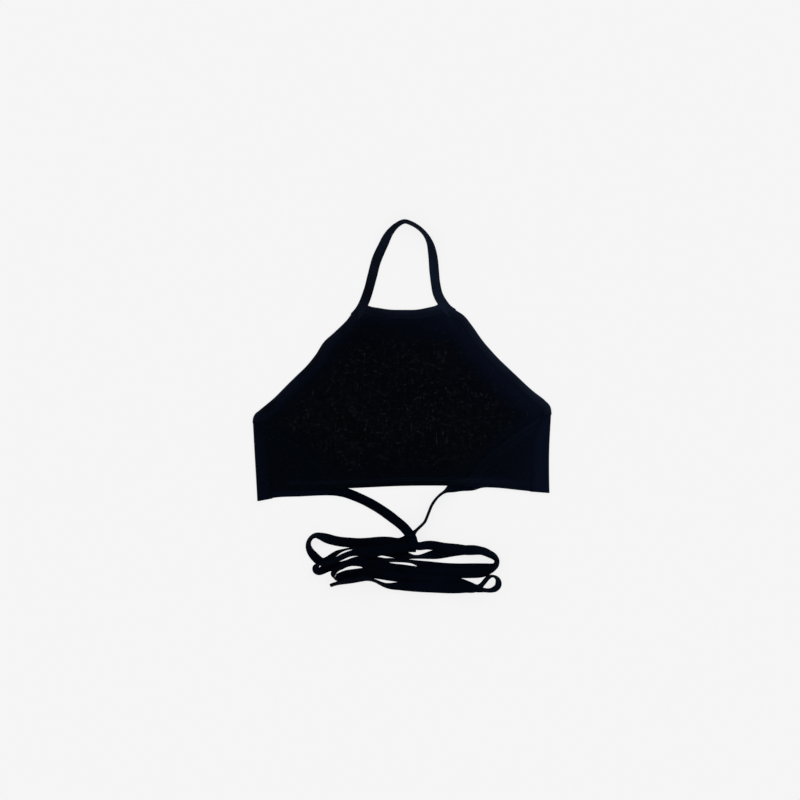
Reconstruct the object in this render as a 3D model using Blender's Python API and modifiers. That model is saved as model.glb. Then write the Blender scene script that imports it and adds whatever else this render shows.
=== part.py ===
"""Halter crop top in fine knit, laid flat on its back, with its two ties folded loosely below the hem.

Tables are in millimetres from the middle of the front hem: x to the right, y towards the neck.
z is the height over the surface that the top lies on, and rolls are in degrees from lying flat.
"""

import math

import bpy
import numpy as np

MM = 0.001
# Moves the middle of the whole outline onto the origin
TO_CENTRE = (0.5, -97.7)

CLOTH = 1.2
BINDING = 2.2
TIE = 1.8
GAP = 0.3
# Extra height for a strip on its edge, whose corners reach a little past its middle line's square
EDGE_ROOM = 0.25

STRAP_WIDTH = 10.8
ARMHOLE_WIDTH = 8.5
NECK_BAND_WIDTH = 10.5
WING_BINDING_WIDTH = 7.0
TIE_WIDTH = 11.0

# The front panel climbs onto a wing over this distance, ends its climb this far before the
# wing's slanted edge, and settles a little again this far past the edge
CLIMB = 9.0
CLIMB_END = 5.0
SETTLE_START = 14.0
SETTLE_LENGTH = 12.0
SETTLE = 0.5
# Inner radius of the soft fold at each side, with its two walls
FOLD_RADIUS = 1.4
# A wing's underarm corner lies this far past the blunt start of its binding
WING_CORNER = 1.5

PANEL_COLUMNS = 34
PANEL_ROWS = 27
SEAM_ROWS = 8
WING_ROWS = 15
# Where a wing's grid has its columns: over the strip on the front, round the side fold, and across
# the part under the front, as shares of the way and as angles in degrees
STRIP_SHARES = (0, 0.25, 0.5, 0.75)
FOLD_ANGLES = (90, 45, 0, -45, -90)
UNDER_SHARES = (0.1, 0.25, 0.4, 0.55, 0.7, 0.85, 1)
# Distances between the points along an outline and along a strip
OUTLINE_STEP = 8.0
STRIP_STEP = 7.0

# Linear colours of the knit and of the doubled strips, a black navy
KNIT_COLOUR = (0.0035, 0.0050, 0.0085)
RIB_COLOUR = (0.0055, 0.0075, 0.0120)
KNIT_ROUGHNESS = 0.85
RIB_ROUGHNESS = 0.80

# Columns x, y. The lower edge of the front, from the left side seam to the right one.
FRONT_HEM = (
    (-156, -3.4),
    (-137, -2.6),
    (-104, -2.2),
    (-65, -1.0),
    (-38, 0.2),
    (-7, 1.6),
    (28, 2.2),
    (57, 2.0),
    (96, 0.2),
    (114, -0.5),
    (138, -3.0),
    (153, -4.6),
)

# Columns x, y. Each side seam, from the hem up to the underarm.
SIDE_SEAMS = {
    "left": ((-156, -3.4), (-158, 13), (-161, 35), (-165, 60), (-169.8, 77.8)),
    "right": ((153, -4.6), (153.6, 13), (154.6, 40), (157, 64), (168.5, 88)),
}

# Columns x, y. The outer edge of each armhole, from the underarm up to the neck corner.
ARMHOLES = {
    "left": (
        (-179.2, 81),
        (-177.2, 87.2),
        (-172.2, 91.8),
        (-158.5, 103),
        (-133.8, 127.2),
        (-114.8, 145.8),
        (-103.9, 159.2),
        (-94.8, 173.4),
        (-80.6, 186.8),
        (-67.2, 200),
        (-57, 213.9),
    ),
    "right": (
        (178.2, 91),
        (176.8, 97.4),
        (171.8, 103.2),
        (158, 114.2),
        (135.6, 134.8),
        (113.2, 156.4),
        (93.2, 179.6),
        (82.2, 195.4),
        (73.6, 205.9),
        (64, 212.6),
        (58.5, 216.6),
    ),
}

# Columns x, y. The upper edge of the neck band, from left to right.
NECK_EDGE = (
    (-41.2, 217.9),
    (-38.6, 216.9),
    (-30.3, 215.4),
    (-19.2, 213.6),
    (-1.2, 212.9),
    (17.4, 213.2),
    (31, 215.6),
    (40.2, 218.2),
    (42.4, 219.4),
)

# Columns x, y, roll. The middle of the neck strap, which tips up on its edge behind the neck.
NECK_STRAP = (
    (-52, 211.4, 0),
    (-46.4, 221.4, 0),
    (-41.3, 235.2, 0),
    (-36.2, 254.2, 0),
    (-31.4, 272.2, 5),
    (-23.9, 289.3, 10),
    (-14.3, 307, 46),
    (-6.3, 315, 62),
    (2.3, 319.1, 70),
    (11.3, 316.4, 70),
    (19.4, 311.5, 70),
    (27, 304, 66),
    (32.6, 294, 52),
    (36.1, 279.4, 26),
    (38, 260, 6),
    (39.8, 244, 0),
    (42.8, 231, 0),
    (48.4, 221, 0),
    (53.6, 214.3, 0),
)

# Columns x, y. The fold at each side, from the lower edge up to the underarm.
SIDE_FOLDS = {
    "left": ((-174, -16.3), (-175, 4), (-177.2, 42), (-179.4, 79.8)),
    "right": ((176.2, -6.6), (175.7, 10), (175.8, 46), (178.2, 90)),
}

# Columns x, y. The slanted upper edge of each wing, from the underarm down to its tip.
WING_SLANTS = {
    "left": (
        (-167.5, 74.5),
        (-150.5, 66.5),
        (-128.4, 50.4),
        (-108.7, 33.6),
        (-96.5, 21.5),
        (-84.2, 9.5),
        (-76.5, 2.4),
    ),
    "right": (
        (167, 83.5),
        (147.6, 71),
        (123.6, 53.4),
        (103, 38),
        (91, 25),
        (81.5, 12.5),
        (73.5, 5.0),
    ),
}

# Columns x, y. The lower edge of each wing under the front, from its tip beside the tie to the fold.
WING_HEMS = {
    "left": ((-79.6, -9.9), (-87.6, -9.6), (-122.4, -10.8), (-154.8, -12.5), (-172.6, -16.2)),
    "right": ((75, -4.4), (86, -3.4), (94, -0.8), (104, 0.2), (138, -2.4), (174.6, -6.6)),
}
# The lower end of each wing's strip on the front, at the side seam
WING_FRONT_HEM = {"left": (-156, -13.2), "right": (153, -5.0)}
# Columns x, y. Where the front is already as high as on the wing, past each end of the slanted edge
COVER_STARTS = {"left": (-181, 81), "right": (181, 92.5)}
COVER_ENDS = {
    "left": ((-72, 0.2), (-58, -3.4), (-44, -9)),
    "right": ((75, 7.8), (60, 6.4), (46, -3)),
}

# Columns x, y, roll. The middle of each tie from its wing to its free end: down from the hem, then
# to and fro in loose folds, on edge where it turns back. The right tie lies under the left one.
TIES = {
    "right": (
        (72.8, 1.6, 0),
        (64, 0.6, 6),
        (57.2, -1.2, 38),
        (51.2, -4.6, 76),
        (45, -8.8, 84),
        (36.2, -19.2, 83),
        (30, -33.6, 83),
        (26.6, -41.2, 83),
        (20.8, -47.2, 82),
        (15.4, -52.4, 76),
        (9.8, -58.4, 42),
        (3, -63.6, 18),
        (-4.8, -66.2, 8),
        (-14.4, -65.2, 4),
        (-26.4, -64.7, 0),
        (-38.4, -65.8, 0),
        (-50.4, -66.4, 0),
        (-62.4, -66, 0),
        (-74.4, -65, 0),
        (-86.4, -62.4, 4),
        (-92.4, -60.4, 22),
        (-98.4, -58.3, 46),
        (-104.4, -57.4, 64),
        (-108.8, -59.6, 70),
        (-112, -64.2, 68),
        (-112.8, -69.6, 60),
        (-111.1, -75.2, 46),
        (-107.5, -80.4, 32),
        (-103.2, -85, 26),
        (-99.1, -88.2, 28),
        (-94.4, -89, 36),
        (-88.8, -85.9, 48),
        (-83.5, -81.6, 58),
        (-78, -77.8, 68),
        (-73.2, -75.7, 78),
        (-68.4, -74.2, 84),
        (-62.4, -73, 84),
        (-55.2, -72.8, 78),
        (-48, -73.6, 62),
        (-38.4, -75.2, 34),
        (-28.8, -75.4, 12),
        (-16.8, -77.2, 4),
        (-4.8, -79.6, -12),
        (3.6, -81.2, -38),
        (12, -82.8, -70),
        (19.2, -83, -74),
        (26.4, -82.1, -60),
        (33.6, -80.9, -36),
        (42, -79.9, -14),
        (52.8, -78.2, -4),
        (64.8, -76.1, 0),
        (76.8, -74.9, -10),
        (90, -74.9, -32),
        (98, -77.2, -44),
        (104, -80.6, -60),
        (108.8, -83.8, -72),
        (111.8, -87.6, -80),
        (110.8, -91.8, -74),
        (106.6, -94.8, -50),
        (100, -96.3, -22),
        (92, -96.7, -6),
        (81.6, -96.7, 0),
        (57.6, -96.7, 0),
        (45.6, -95.8, 0),
        (36, -94.8, -10),
        (27.6, -93.2, -28),
        (19.2, -90.9, -54),
        (12, -88.9, -74),
        (3.6, -87.9, -80),
        (-4.8, -87.6, -80),
        (-14.4, -87.4, -74),
        (-20.4, -87.6, -62),
        (-26.4, -87.8, -46),
        (-32.4, -87.8, -26),
        (-43.2, -87.8, -10),
        (-54, -88.3, -14),
        (-62.4, -89.8, -42),
        (-68.4, -91.6, -46),
        (-76.8, -94.4, -24),
        (-85.2, -94.5, -16),
        (-91.8, -97, -30),
        (-96.4, -99.8, -40),
        (-100.8, -101.4, -50),
        (-104.2, -99.6, -54),
        (-105, -95.8, -64),
        (-102.6, -92.5, -90),
        (-97.8, -91.4, -120),
        (-88.8, -90, -126),
        (-81.6, -87.6, -120),
        (-76.2, -85.2, -117),
        (-68.4, -81.4, -116),
        (-62.4, -79.2, -118),
        (-54, -77.5, -136),
        (-43.2, -78, -162),
        (-34, -77.4, -178),
        (-24, -75.2, -180),
        (-12, -73.2, -180),
        (0, -71.9, -180),
        (12, -70.8, -180),
    ),
    "left": (
        (-78, -4.3, 0),
        (-69, -6.1, 0),
        (-53, -12, 0),
        (-35.5, -20.7, 4),
        (-11.4, -37, 0),
        (2.4, -48.4, 0),
        (8.2, -55.4, 6),
        (11.8, -61.4, 18),
        (13.4, -66, 30),
        (16.4, -69.4, 36),
        (21.6, -70, 34),
        (28, -69.1, 28),
        (34, -69.2, 20),
        (40, -70.2, 8),
        (48, -71.6, 2),
        (57.6, -72.7, 0),
        (66, -73.6, 0),
        (76.8, -75.1, -8),
        (88, -75.3, -30),
        (96.6, -76, -40),
        (104, -78.6, -54),
        (110.6, -82, -68),
        (114.4, -87.4, -80),
        (113.2, -93.8, -76),
        (108.2, -97.3, -56),
        (103.4, -99.4, -38),
        (97.6, -101.4, -20),
        (91, -102.5, -6),
        (81.6, -102.9, 0),
        (57.6, -102.4, 0),
        (33.6, -101.3, 0),
        (19.2, -100.3, 0),
        (3.6, -98.5, 0),
        (-8.4, -97.2, 0),
        (-16.2, -95.8, 0),
        (-26.4, -93.4, 0),
        (-36, -92, 0),
        (-43.2, -91.4, -2),
        (-48, -89.4, -6),
        (-54, -88.5, -14),
        (-62.4, -89.6, -40),
        (-68.4, -91.8, -50),
        (-76.2, -96, -60),
        (-81, -99.8, -60),
        (-83, -104.4, -66),
        (-81.8, -108.8, -88),
        (-78, -110.9, -118),
        (-72, -108.6, -146),
        (-66, -105.8, -162),
        (-60, -103.6, -170),
        (-52, -102.6, -174),
        (-43.2, -101.6, -172),
        (-31.2, -103.4, -168),
        (-16.8, -105.8, -168),
        (-4, -107.6, -166),
        (12, -109, -166),
        (43.2, -111.6, -166),
        (63.6, -112.8, -170),
        (73.8, -116.2, -168),
        (82.4, -119.2, -156),
        (90, -121.6, -134),
        (98.4, -123, -112),
        (105.6, -123.2, -114),
        (111, -121.6, -120),
        (115, -117.8, -120),
        (115.6, -112.4, -110),
        (113.2, -108, -98),
        (108, -105.9, -96),
        (103.4, -107.1, -108),
        (99.9, -110.4, -112),
        (96.4, -114.6, -112),
        (92.4, -118.4, -118),
        (86.6, -120.4, -146),
        (78, -120.2, -174),
        (62.4, -121, -186),
        (36, -120.2, -186),
        (12, -118.8, -192),
        (-4, -118, -214),
        (-14.4, -118, -232),
        (-20.4, -117.1, -244),
        (-26.4, -114.7, -251),
        (-31.8, -112, -255),
        (-38.4, -109.6, -249),
        (-44.4, -108.4, -238),
        (-50.4, -109, -234),
        (-60, -110.8, -234),
        (-68.4, -112.3, -238),
        (-76.8, -114.4, -250),
        (-82.8, -116.1, -254),
        (-87, -117.6, -254),
    ),
}
TIE_STEP = 5.0
# A tie doesn't count as lying on its own last stretch, this far back along it
TIE_CLEAR = 30.0
# Room between two stretches of tie that lie on each other
TIE_GAP = 0.6
# The steepest that a tie climbs onto what lies under it, and the size of the pile's cells
TIE_SLOPE = 0.42
PILE_CELL = 1.0
# How many spots are tested across a tie and along one step of it, and how often the heights are
# worked out again so that the last stretches have settled
SPOTS_ACROSS = 12
SPOTS_ALONG = 3
SETTLING_ROUNDS = 5


def smooth_line(rows, step):
    """Points about step apart on a smooth curve through the rows, which carries every column along."""
    rows = np.array(rows, float)
    spans = np.linalg.norm(np.diff(rows[:, :2], axis=0), axis=1)
    slopes = np.diff(rows, axis=0) / spans[:, None]
    before, after = spans[:-1, None], spans[1:, None]
    inner = (slopes[:-1] * after + slopes[1:] * before) / (before + after)
    slopes = np.vstack([slopes[:1], inner, slopes[-1:]])
    points = []
    for i, span in enumerate(spans):
        count = max(1, round(span / step))
        for t in np.arange(count) / count:
            start = (1 + 2 * t) * (1 - t) ** 2 * rows[i] + t * (1 - t) ** 2 * span * slopes[i]
            end = t * t * (3 - 2 * t) * rows[i + 1] - t * t * (1 - t) * span * slopes[i + 1]
            points.append(start + end)
    return np.array(points + [rows[-1]])


def directions(line):
    """The way ahead and the way to the left at each point of a line, seen from above."""
    ahead = np.gradient(line[:, :2], axis=0)
    ahead /= np.linalg.norm(ahead, axis=1)[:, None]
    return ahead, np.stack([-ahead[:, 1], ahead[:, 0]], axis=1)


def beside(rows, distance):
    """The line that runs this far to the left of another, or to its right if negative."""
    line = np.array(rows, float)
    return line[:, :2] + directions(line)[1] * distance


def spread(rows, count):
    """Evenly spaced points along a line of straight pieces."""
    line = np.array(rows, float)[:, :2]
    along = np.append(0, np.cumsum(np.linalg.norm(np.diff(line, axis=0), axis=1)))
    at = np.linspace(0, along[-1], count)
    return np.stack([np.interp(at, along, line[:, 0]), np.interp(at, along, line[:, 1])], axis=1)


def eased(value):
    value = min(max(value, 0.0), 1.0)
    return value * value * (3 - 2 * value)


def side_of(rows, x, y):
    """Distance of a spot from a line, positive on the right of its run."""
    best = (math.inf, 0.0)
    for (ax, ay), (bx, by) in zip(rows[:-1], rows[1:]):
        run = (bx - ax, by - ay)
        t = ((x - ax) * run[0] + (y - ay) * run[1]) / (run[0] ** 2 + run[1] ** 2)
        t = min(max(t, 0.0), 1.0)
        off = (x - ax - t * run[0], y - ay - t * run[1])
        turn = run[1] * off[0] - run[0] * off[1]
        best = min(best, (math.hypot(*off), turn))
    return math.copysign(best[0], best[1])


def cover_line(side):
    """A wing's slanted edge, begun past the underarm and carried on past its tip over the tie's start."""
    return [COVER_STARTS[side], *WING_SLANTS[side][:-1], *COVER_ENDS[side]]


COVER_LINES = {side: cover_line(side) for side in WING_SLANTS}


def rest_height(x, y):
    """How high the front lies at a spot: on the surface, or on the wing and binding under it."""
    side = "left" if x < 0 else "right"
    inward = side_of(COVER_LINES[side], x, y) * (1 if side == "left" else -1)
    climbed = (BINDING + 2 * GAP) * eased(1 + (inward + CLIMB_END) / CLIMB)
    return climbed - SETTLE * eased((inward - SETTLE_START) / SETTLE_LENGTH)


def material(name, colour, roughness):
    made = bpy.data.materials.new(name)
    made.use_nodes = True
    shader = made.node_tree.nodes["Principled BSDF"]
    shader.inputs["Base Color"].default_value = (*colour, 1)
    shader.inputs["Roughness"].default_value = roughness
    shader.inputs["Metallic"].default_value = 0
    made.diffuse_color = (*colour, 1)
    return made


def sheet(name, grid, thickness, finish, offset=0.0):
    """A wall of cloth: a grid of points, rows by columns, with its thickness from Solidify."""
    grid = np.array(grid, float)
    rows, columns = grid.shape[:2]
    points = (grid.reshape(-1, 3) + (*TO_CENTRE, 0)) * MM
    corners = np.arange(rows * columns).reshape(rows, columns)
    faces = [
        (corners[i, j], corners[i, j + 1], corners[i + 1, j + 1], corners[i + 1, j])
        for i in range(rows - 1)
        for j in range(columns - 1)
    ]
    mesh = bpy.data.meshes.new(name)
    mesh.from_pydata(points.tolist(), [], [[int(k) for k in face] for face in faces])
    mesh.materials.append(finish)
    mesh.shade_smooth()
    piece = bpy.data.objects.new(name, mesh)
    parts.objects.link(piece)
    wall = piece.modifiers.new("thickness", "SOLIDIFY")
    wall.thickness = thickness * MM
    wall.offset = offset
    wall.use_even_offset = True


def half_height(roll, width, thickness):
    """Half the height of a strip that is rolled this far from flat."""
    return width / 2 * abs(math.sin(roll)) + thickness / 2 * abs(math.cos(roll))


def ribbon(name, line, width, thickness, lifts):
    """A flat strip along a line of x, y and roll, with its lowest edge at the lifts."""
    left = directions(line)[1]
    rolls = np.radians(line[:, 2])
    grid = []
    for point, way, roll, lift in zip(line, left, rolls, lifts):
        high = lift + half_height(roll, width, thickness) + EDGE_ROOM * abs(math.sin(roll))
        middle = np.array([point[0], point[1], high])
        across = np.array([*(way * math.cos(roll)), math.sin(roll)]) * width / 2
        grid.append((middle + across, middle - across))
    sheet(name, grid, thickness, RIB)


def flat_ribbon(name, rows, width):
    """A doubled strip that lies flat along a line, as high as the front lies there."""
    line = smooth_line([(*row, 0) for row in rows], STRIP_STEP)
    lifts = [rest_height(x, y) for x, y, _ in line]
    ribbon(name, line, width, BINDING, lifts)


def blended_patch(bottom, top, left, right):
    """Rows of points that fill the space between four edges, each edge from left to right or upwards."""
    rows, columns = len(left), len(bottom)
    grid = np.zeros((rows, columns, 2))
    for i in range(rows):
        v = i / (rows - 1)
        for j in range(columns):
            u = j / (columns - 1)
            between = (1 - v) * bottom[j] + v * top[j] + (1 - u) * left[i] + u * right[i]
            low = (1 - u) * bottom[0] + u * bottom[-1]
            high = (1 - u) * top[0] + u * top[-1]
            grid[i, j] = between - (1 - v) * low - v * high
    return grid


def side_edge(side):
    """The front panel's edge at one side: up the seam, then up the inside of the armhole binding."""
    inward = -1 if side == "left" else 1
    armhole = beside(ARMHOLES[side], inward * (ARMHOLE_WIDTH + GAP))
    low = spread(smooth_line(SIDE_SEAMS[side], OUTLINE_STEP), SEAM_ROWS)
    high = spread(smooth_line(armhole[1:], OUTLINE_STEP), PANEL_ROWS - SEAM_ROWS)
    return np.vstack([low, high])


def build_front_panel():
    left, right = side_edge("left"), side_edge("right")
    neck_seam = smooth_line(beside(NECK_EDGE, -(NECK_BAND_WIDTH + GAP)), OUTLINE_STEP)
    top = np.vstack([left[-1:], neck_seam[1:-1], right[-1:]])
    bottom = spread(smooth_line(FRONT_HEM, OUTLINE_STEP), PANEL_COLUMNS)
    patch = blended_patch(bottom, spread(top, PANEL_COLUMNS), left, right)
    grid = [[(x, y, rest_height(x, y)) for x, y in row] for row in patch]
    sheet("front_panel", grid, CLOTH, KNIT, offset=1.0)


def build_neck():
    band = beside(NECK_EDGE, -NECK_BAND_WIDTH / 2)
    flat_ribbon("neck_band", band, NECK_BAND_WIDTH)
    strap = smooth_line(NECK_STRAP, STRIP_STEP)
    ribbon("neck_strap", strap, STRAP_WIDTH, BINDING, np.zeros(len(strap)))


def build_armhole(side):
    inward = -1 if side == "left" else 1
    middle = beside(ARMHOLES[side], inward * ARMHOLE_WIDTH / 2)
    flat_ribbon(side + "_armhole_binding", middle, ARMHOLE_WIDTH)


def build_wing(side):
    """A triangle of knit: from the side seam on the front, round the side fold and under the front."""
    outward = -1 if side == "left" else 1
    binding = outward * (WING_BINDING_WIDTH + GAP)
    slant = beside(WING_SLANTS[side], binding)[::-1]
    slant[0] = WING_HEMS[side][0]
    ahead = directions(np.array(WING_SLANTS[side]))[0]
    corner = WING_SLANTS[side][0] - ahead[0] * WING_CORNER
    edge = np.vstack([spread(slant, WING_ROWS - 1), corner])
    folds = spread(smooth_line(SIDE_FOLDS[side], OUTLINE_STEP), WING_ROWS)
    seam = np.vstack([WING_FRONT_HEM[side], SIDE_SEAMS[side][1:]])
    seam = spread(seam, WING_ROWS) + (outward * GAP, 0)
    crown = CLOTH / 2 + 2 * FOLD_RADIUS
    hem = smooth_line(WING_HEMS[side], OUTLINE_STEP)
    hem_turn = folds[0] - (outward * (FOLD_RADIUS + CLOTH / 2), 0)
    grid = []
    for i in range(WING_ROWS):
        fade = (1 - i / (WING_ROWS - 1)) ** 2
        turn = folds[i] - (outward * (FOLD_RADIUS + CLOTH / 2), 0)
        row = []
        for t in STRIP_SHARES:
            x, y = seam[i] + (turn - seam[i]) * t
            flat = rest_height(x, y) + CLOTH / 2
            row.append((x, y, flat + (max(crown, flat) - flat) * t * t))
        for angle in np.radians(FOLD_ANGLES):
            out = math.cos(angle) * FOLD_RADIUS
            up = (1 + math.sin(angle)) * FOLD_RADIUS
            row.append((turn[0] + outward * out, turn[1], CLOTH / 2 + up))
        for t in UNDER_SHARES:
            x, y = turn + (edge[i] - turn) * t
            hem_x, hem_y = hem_turn + (edge[0] - hem_turn) * t
            rise = np.interp(outward * hem_x, outward * hem[:, 0], hem[:, 1]) - hem_y
            row.append((x, y + rise * fade, CLOTH / 2))
        grid.append(row)
    sheet(side + "_back_wing", grid, CLOTH, KNIT)


def build_wing_binding(side):
    inward = 1 if side == "left" else -1
    middle = beside(WING_SLANTS[side], -inward * WING_BINDING_WIDTH / 2)
    line = smooth_line([(*row, 0) for row in middle], STRIP_STEP)
    ribbon(side + "_wing_binding", line, WING_BINDING_WIDTH, BINDING, np.zeros(len(line)))


def tie_cells(point, way, ahead, roll, lift):
    """The pile's cells under one step of a tie, each with how far the strip's middle is over the lift."""
    middle = half_height(roll, TIE_WIDTH, TIE)
    cells = {}
    for across in np.linspace(-0.5, 0.5, SPOTS_ACROSS):
        for along in np.linspace(-0.5, 0.5, SPOTS_ALONG):
            for edge in (-0.5, 0.5):
                flat = across * TIE_WIDTH * math.cos(roll) - edge * TIE * math.sin(roll)
                spot = point[:2] + way * flat + ahead * along * TIE_STEP
                height = lift + middle + across * TIE_WIDTH * math.sin(roll)
                cell = tuple(np.floor(spot / PILE_CELL).astype(int))
                half = TIE / 2 * abs(math.cos(roll))
                low, high = cells.get(cell, (math.inf, -math.inf))
                cells[cell] = (min(low, height - half), max(high, height + half))
    return cells


def pile_lifts(lines):
    """Heights of the ties' steps, each stretch resting on those that were laid before it."""
    lifts = [np.zeros(len(line)) for line in lines]
    for _ in range(SETTLING_ROUNDS):
        pile = {}
        for which, line in enumerate(lines):
            ahead, left = directions(line)
            run = np.append(0, np.cumsum(np.linalg.norm(np.diff(line[:, :2], axis=0), axis=1)))
            rolls = np.radians(line[:, 2])
            needed = np.zeros(len(line))
            for i, point in enumerate(line):
                cells = tie_cells(point, left[i], ahead[i], rolls[i], 0.0)
                for cell, (low, _) in cells.items():
                    for top, tie, at in pile.get(cell, ()):
                        if tie != which or run[i] - at > TIE_CLEAR:
                            needed[i] = max(needed[i], top + TIE_GAP - low)
                lift = max(needed[i], lifts[which][i])
                for cell, (_, high) in cells.items():
                    pile.setdefault(cell, []).append((high + lift, which, run[i]))
            apart = np.abs(run[:, None] - run[None, :])
            climb = needed[None, :] - TIE_SLOPE * np.maximum(apart - TIE_STEP, 0)
            lifts[which] = climb.max(axis=1)
    return lifts


def build_ties():
    lines = [smooth_line(TIES[side], TIE_STEP) for side in TIES]
    for side, line, lifts in zip(TIES, lines, pile_lifts(lines)):
        ribbon(side + "_tie", line, TIE_WIDTH, TIE, lifts)


for old in list(bpy.data.objects):
    bpy.data.objects.remove(old, do_unlink=True)
parts = bpy.data.collections.new("halter_crop_top")
bpy.context.scene.collection.children.link(parts)
KNIT = material("fine_knit", KNIT_COLOUR, KNIT_ROUGHNESS)
RIB = material("doubled_knit", RIB_COLOUR, RIB_ROUGHNESS)

build_front_panel()
build_neck()
for hand in ("left", "right"):
    build_armhole(hand)
    build_wing(hand)
    build_wing_binding(hand)
build_ties()
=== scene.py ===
"""Looks of a halter crop top in fine dark knit, laid flat with its ties folded below the hem.

Tables are in millimetres from the middle of the front hem: x to the right, y towards the neck.
z is the height over the surface that the top lies on, and rolls are in degrees from lying flat.
"""

import math

import bpy
import numpy as np
from bpy.props import FloatProperty, FloatVectorProperty, PointerProperty
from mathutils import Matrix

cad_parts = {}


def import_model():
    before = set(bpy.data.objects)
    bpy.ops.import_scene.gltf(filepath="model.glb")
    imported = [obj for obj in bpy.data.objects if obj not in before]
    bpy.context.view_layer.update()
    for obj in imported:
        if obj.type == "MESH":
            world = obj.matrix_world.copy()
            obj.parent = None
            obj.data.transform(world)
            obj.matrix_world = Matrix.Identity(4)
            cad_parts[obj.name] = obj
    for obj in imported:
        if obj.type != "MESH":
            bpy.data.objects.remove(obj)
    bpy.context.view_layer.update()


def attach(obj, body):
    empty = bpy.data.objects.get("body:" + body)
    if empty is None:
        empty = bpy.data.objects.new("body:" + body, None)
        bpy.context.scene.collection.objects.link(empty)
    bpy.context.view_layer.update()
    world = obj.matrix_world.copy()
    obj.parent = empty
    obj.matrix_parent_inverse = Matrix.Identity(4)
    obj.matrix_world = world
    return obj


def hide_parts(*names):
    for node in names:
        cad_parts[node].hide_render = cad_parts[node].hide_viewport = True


bl_info = {
    "name": "Halter crop top",
    "version": (1, 0, 0),
    "blender": (4, 5, 0),
    "location": "3D View > Sidebar > Halter top",
    "description": "Makes the cloth, strips, stitches and stage of a halter crop top laid flat",
    "category": "Object",
}

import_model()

MM = 0.001
# Moves the middle of the whole outline onto the origin
TO_CENTRE = (0.5, -97.7)
# The spot under the middle of the picture, and the side of the floor that the picture takes in
PICTURE_MIDDLE = (-3.0, 105.0)
PICTURE_SIDE = 960.0
# Half the floor's side in metres, and the key light's spread and tilt in degrees
FLOOR_REACH = 6.0
KEY_SPREAD = 35
KEY_TILT = (-38, 42, 0)

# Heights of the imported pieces, on which the finer ones lie
CLOTH = 1.2
BINDING = 2.2
TIE = 1.8
# Room between a wing and what it is sewn to, and under a strip that stands on its edge
GAP = 0.3
EDGE_ROOM = 0.25

STRAP_WIDTH = 11.7
ARMHOLE_WIDTH = 8.5
NECK_BAND_WIDTH = 10.5
WING_BINDING_WIDTH = 7.0
TIE_WIDTH = 11.9
# A binding's soft edges reach this much further than its seam lines say, both sides together
FULLNESS = 0.9

# The front climbs onto a wing over this distance and ends its climb just before the wing's bound
# edge. Past the binding it settles onto the wing's single layer.
CLIMB = 8.0
CLIMB_END = 1.0
CREST = 2.35
SETTLE_START = 7.5
SETTLE_LENGTH = 9.0
SETTLE = 0.85
FOLD_RADIUS = 1.4
WING_CORNER = 1.5

# Distance between the ribs of the neck band, how much they swell it, and how much painted shade darkens it
# between them
RIB_PITCH = 2.2
RIB_SWELL = 0.1
RIB_SHADE = 0.3

# The turned hem of the front, which is two layers thick
HEM_DEPTH = 9.8
HEM_STEP = 1.6
HEM_RISE = 0.45

# How finely the pieces are divided
PANEL_COLUMNS = 190
PANEL_ROWS = 136
SEAM_ROWS = 42
WING_ROWS = 60
STRIP_COLUMNS = 14
FOLD_COLUMNS = 9
UNDER_COLUMNS = 46
OUTLINE_STEP = 2.0
STRIP_STEP = 1.0
# Flat points on each face of a strip, and points round each of its edges
FACE_POINTS = 7
EDGE_POINTS = 5

# Points x, y. The lower edge of the front, from the left side seam to the right one.
FRONT_HEM = (
    (-156, -3.4), (-137, -2.6), (-104, -2.2), (-65, -1.0), (-38, 0.2), (-7, 1.6), (28, 2.2), (57, 2.0),
    (96, 0.2), (114, -0.5), (138, -3.0), (153, -4.6),
)

# Points x, y. Each side seam, from the hem up to the underarm.
SIDE_SEAMS = {
    "left": ((-156, -3.4), (-158, 13), (-161, 35), (-165, 60), (-169.8, 77.8)),
    "right": ((153, -4.6), (153.6, 13), (154.6, 40), (157, 64), (168.5, 88)),
}

# Points x, y. The outer edge of each armhole, from the underarm up to the neck corner.
ARMHOLES = {
    "left": (
        (-179.2, 81), (-177.2, 87.2), (-172.2, 91.8), (-158.5, 103), (-133.8, 127.2), (-114.8, 145.8),
        (-103.9, 159.2), (-94.8, 173.4), (-80.6, 186.8), (-67.2, 200), (-57, 213.9),
    ),
    "right": (
        (178.2, 91), (176.8, 97.4), (171.8, 103.2), (158, 114.2), (135.6, 134.8), (113.2, 156.4),
        (93.2, 179.6), (82.2, 195.4), (73.6, 205.9), (64, 212.6), (58.5, 216.6),
    ),
}

# Points x, y. The upper edge of the neck band, from left to right.
NECK_EDGE = (
    (-41.2, 217.9), (-38.6, 216.9), (-30.3, 215.4), (-19.2, 213.6), (-1.2, 212.9), (17.4, 213.2),
    (31, 215.6), (40.2, 218.2), (42.4, 219.4),
)

# Points x, y, roll. The middle of the neck strap, which tips up on its edge behind the neck.
NECK_STRAP = (
    (-52, 211.4, 0), (-46.4, 221.4, 0), (-41.3, 235.2, 0), (-36.2, 254.2, 0), (-31.4, 272.2, 5),
    (-23.9, 289.3, 10), (-14.3, 307, 46), (-6.3, 315, 62), (2.3, 319.1, 70), (11.3, 316.4, 70),
    (19.4, 311.5, 70), (27, 304, 66), (32.6, 294, 52), (36.1, 279.4, 26), (38, 260, 6), (39.8, 244, 0),
    (42.8, 231, 0), (48.4, 221, 0), (53.6, 214.3, 0),
)

# Points x, y. The fold at each side, from the lower edge up to the underarm.
SIDE_FOLDS = {
    "left": ((-174.2, -16.3), (-175.3, 4), (-177.5, 42), (-179.6, 79.8)),
    "right": ((176.4, -6.6), (176, 10), (176.1, 46), (178.4, 90)),
}

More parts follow.
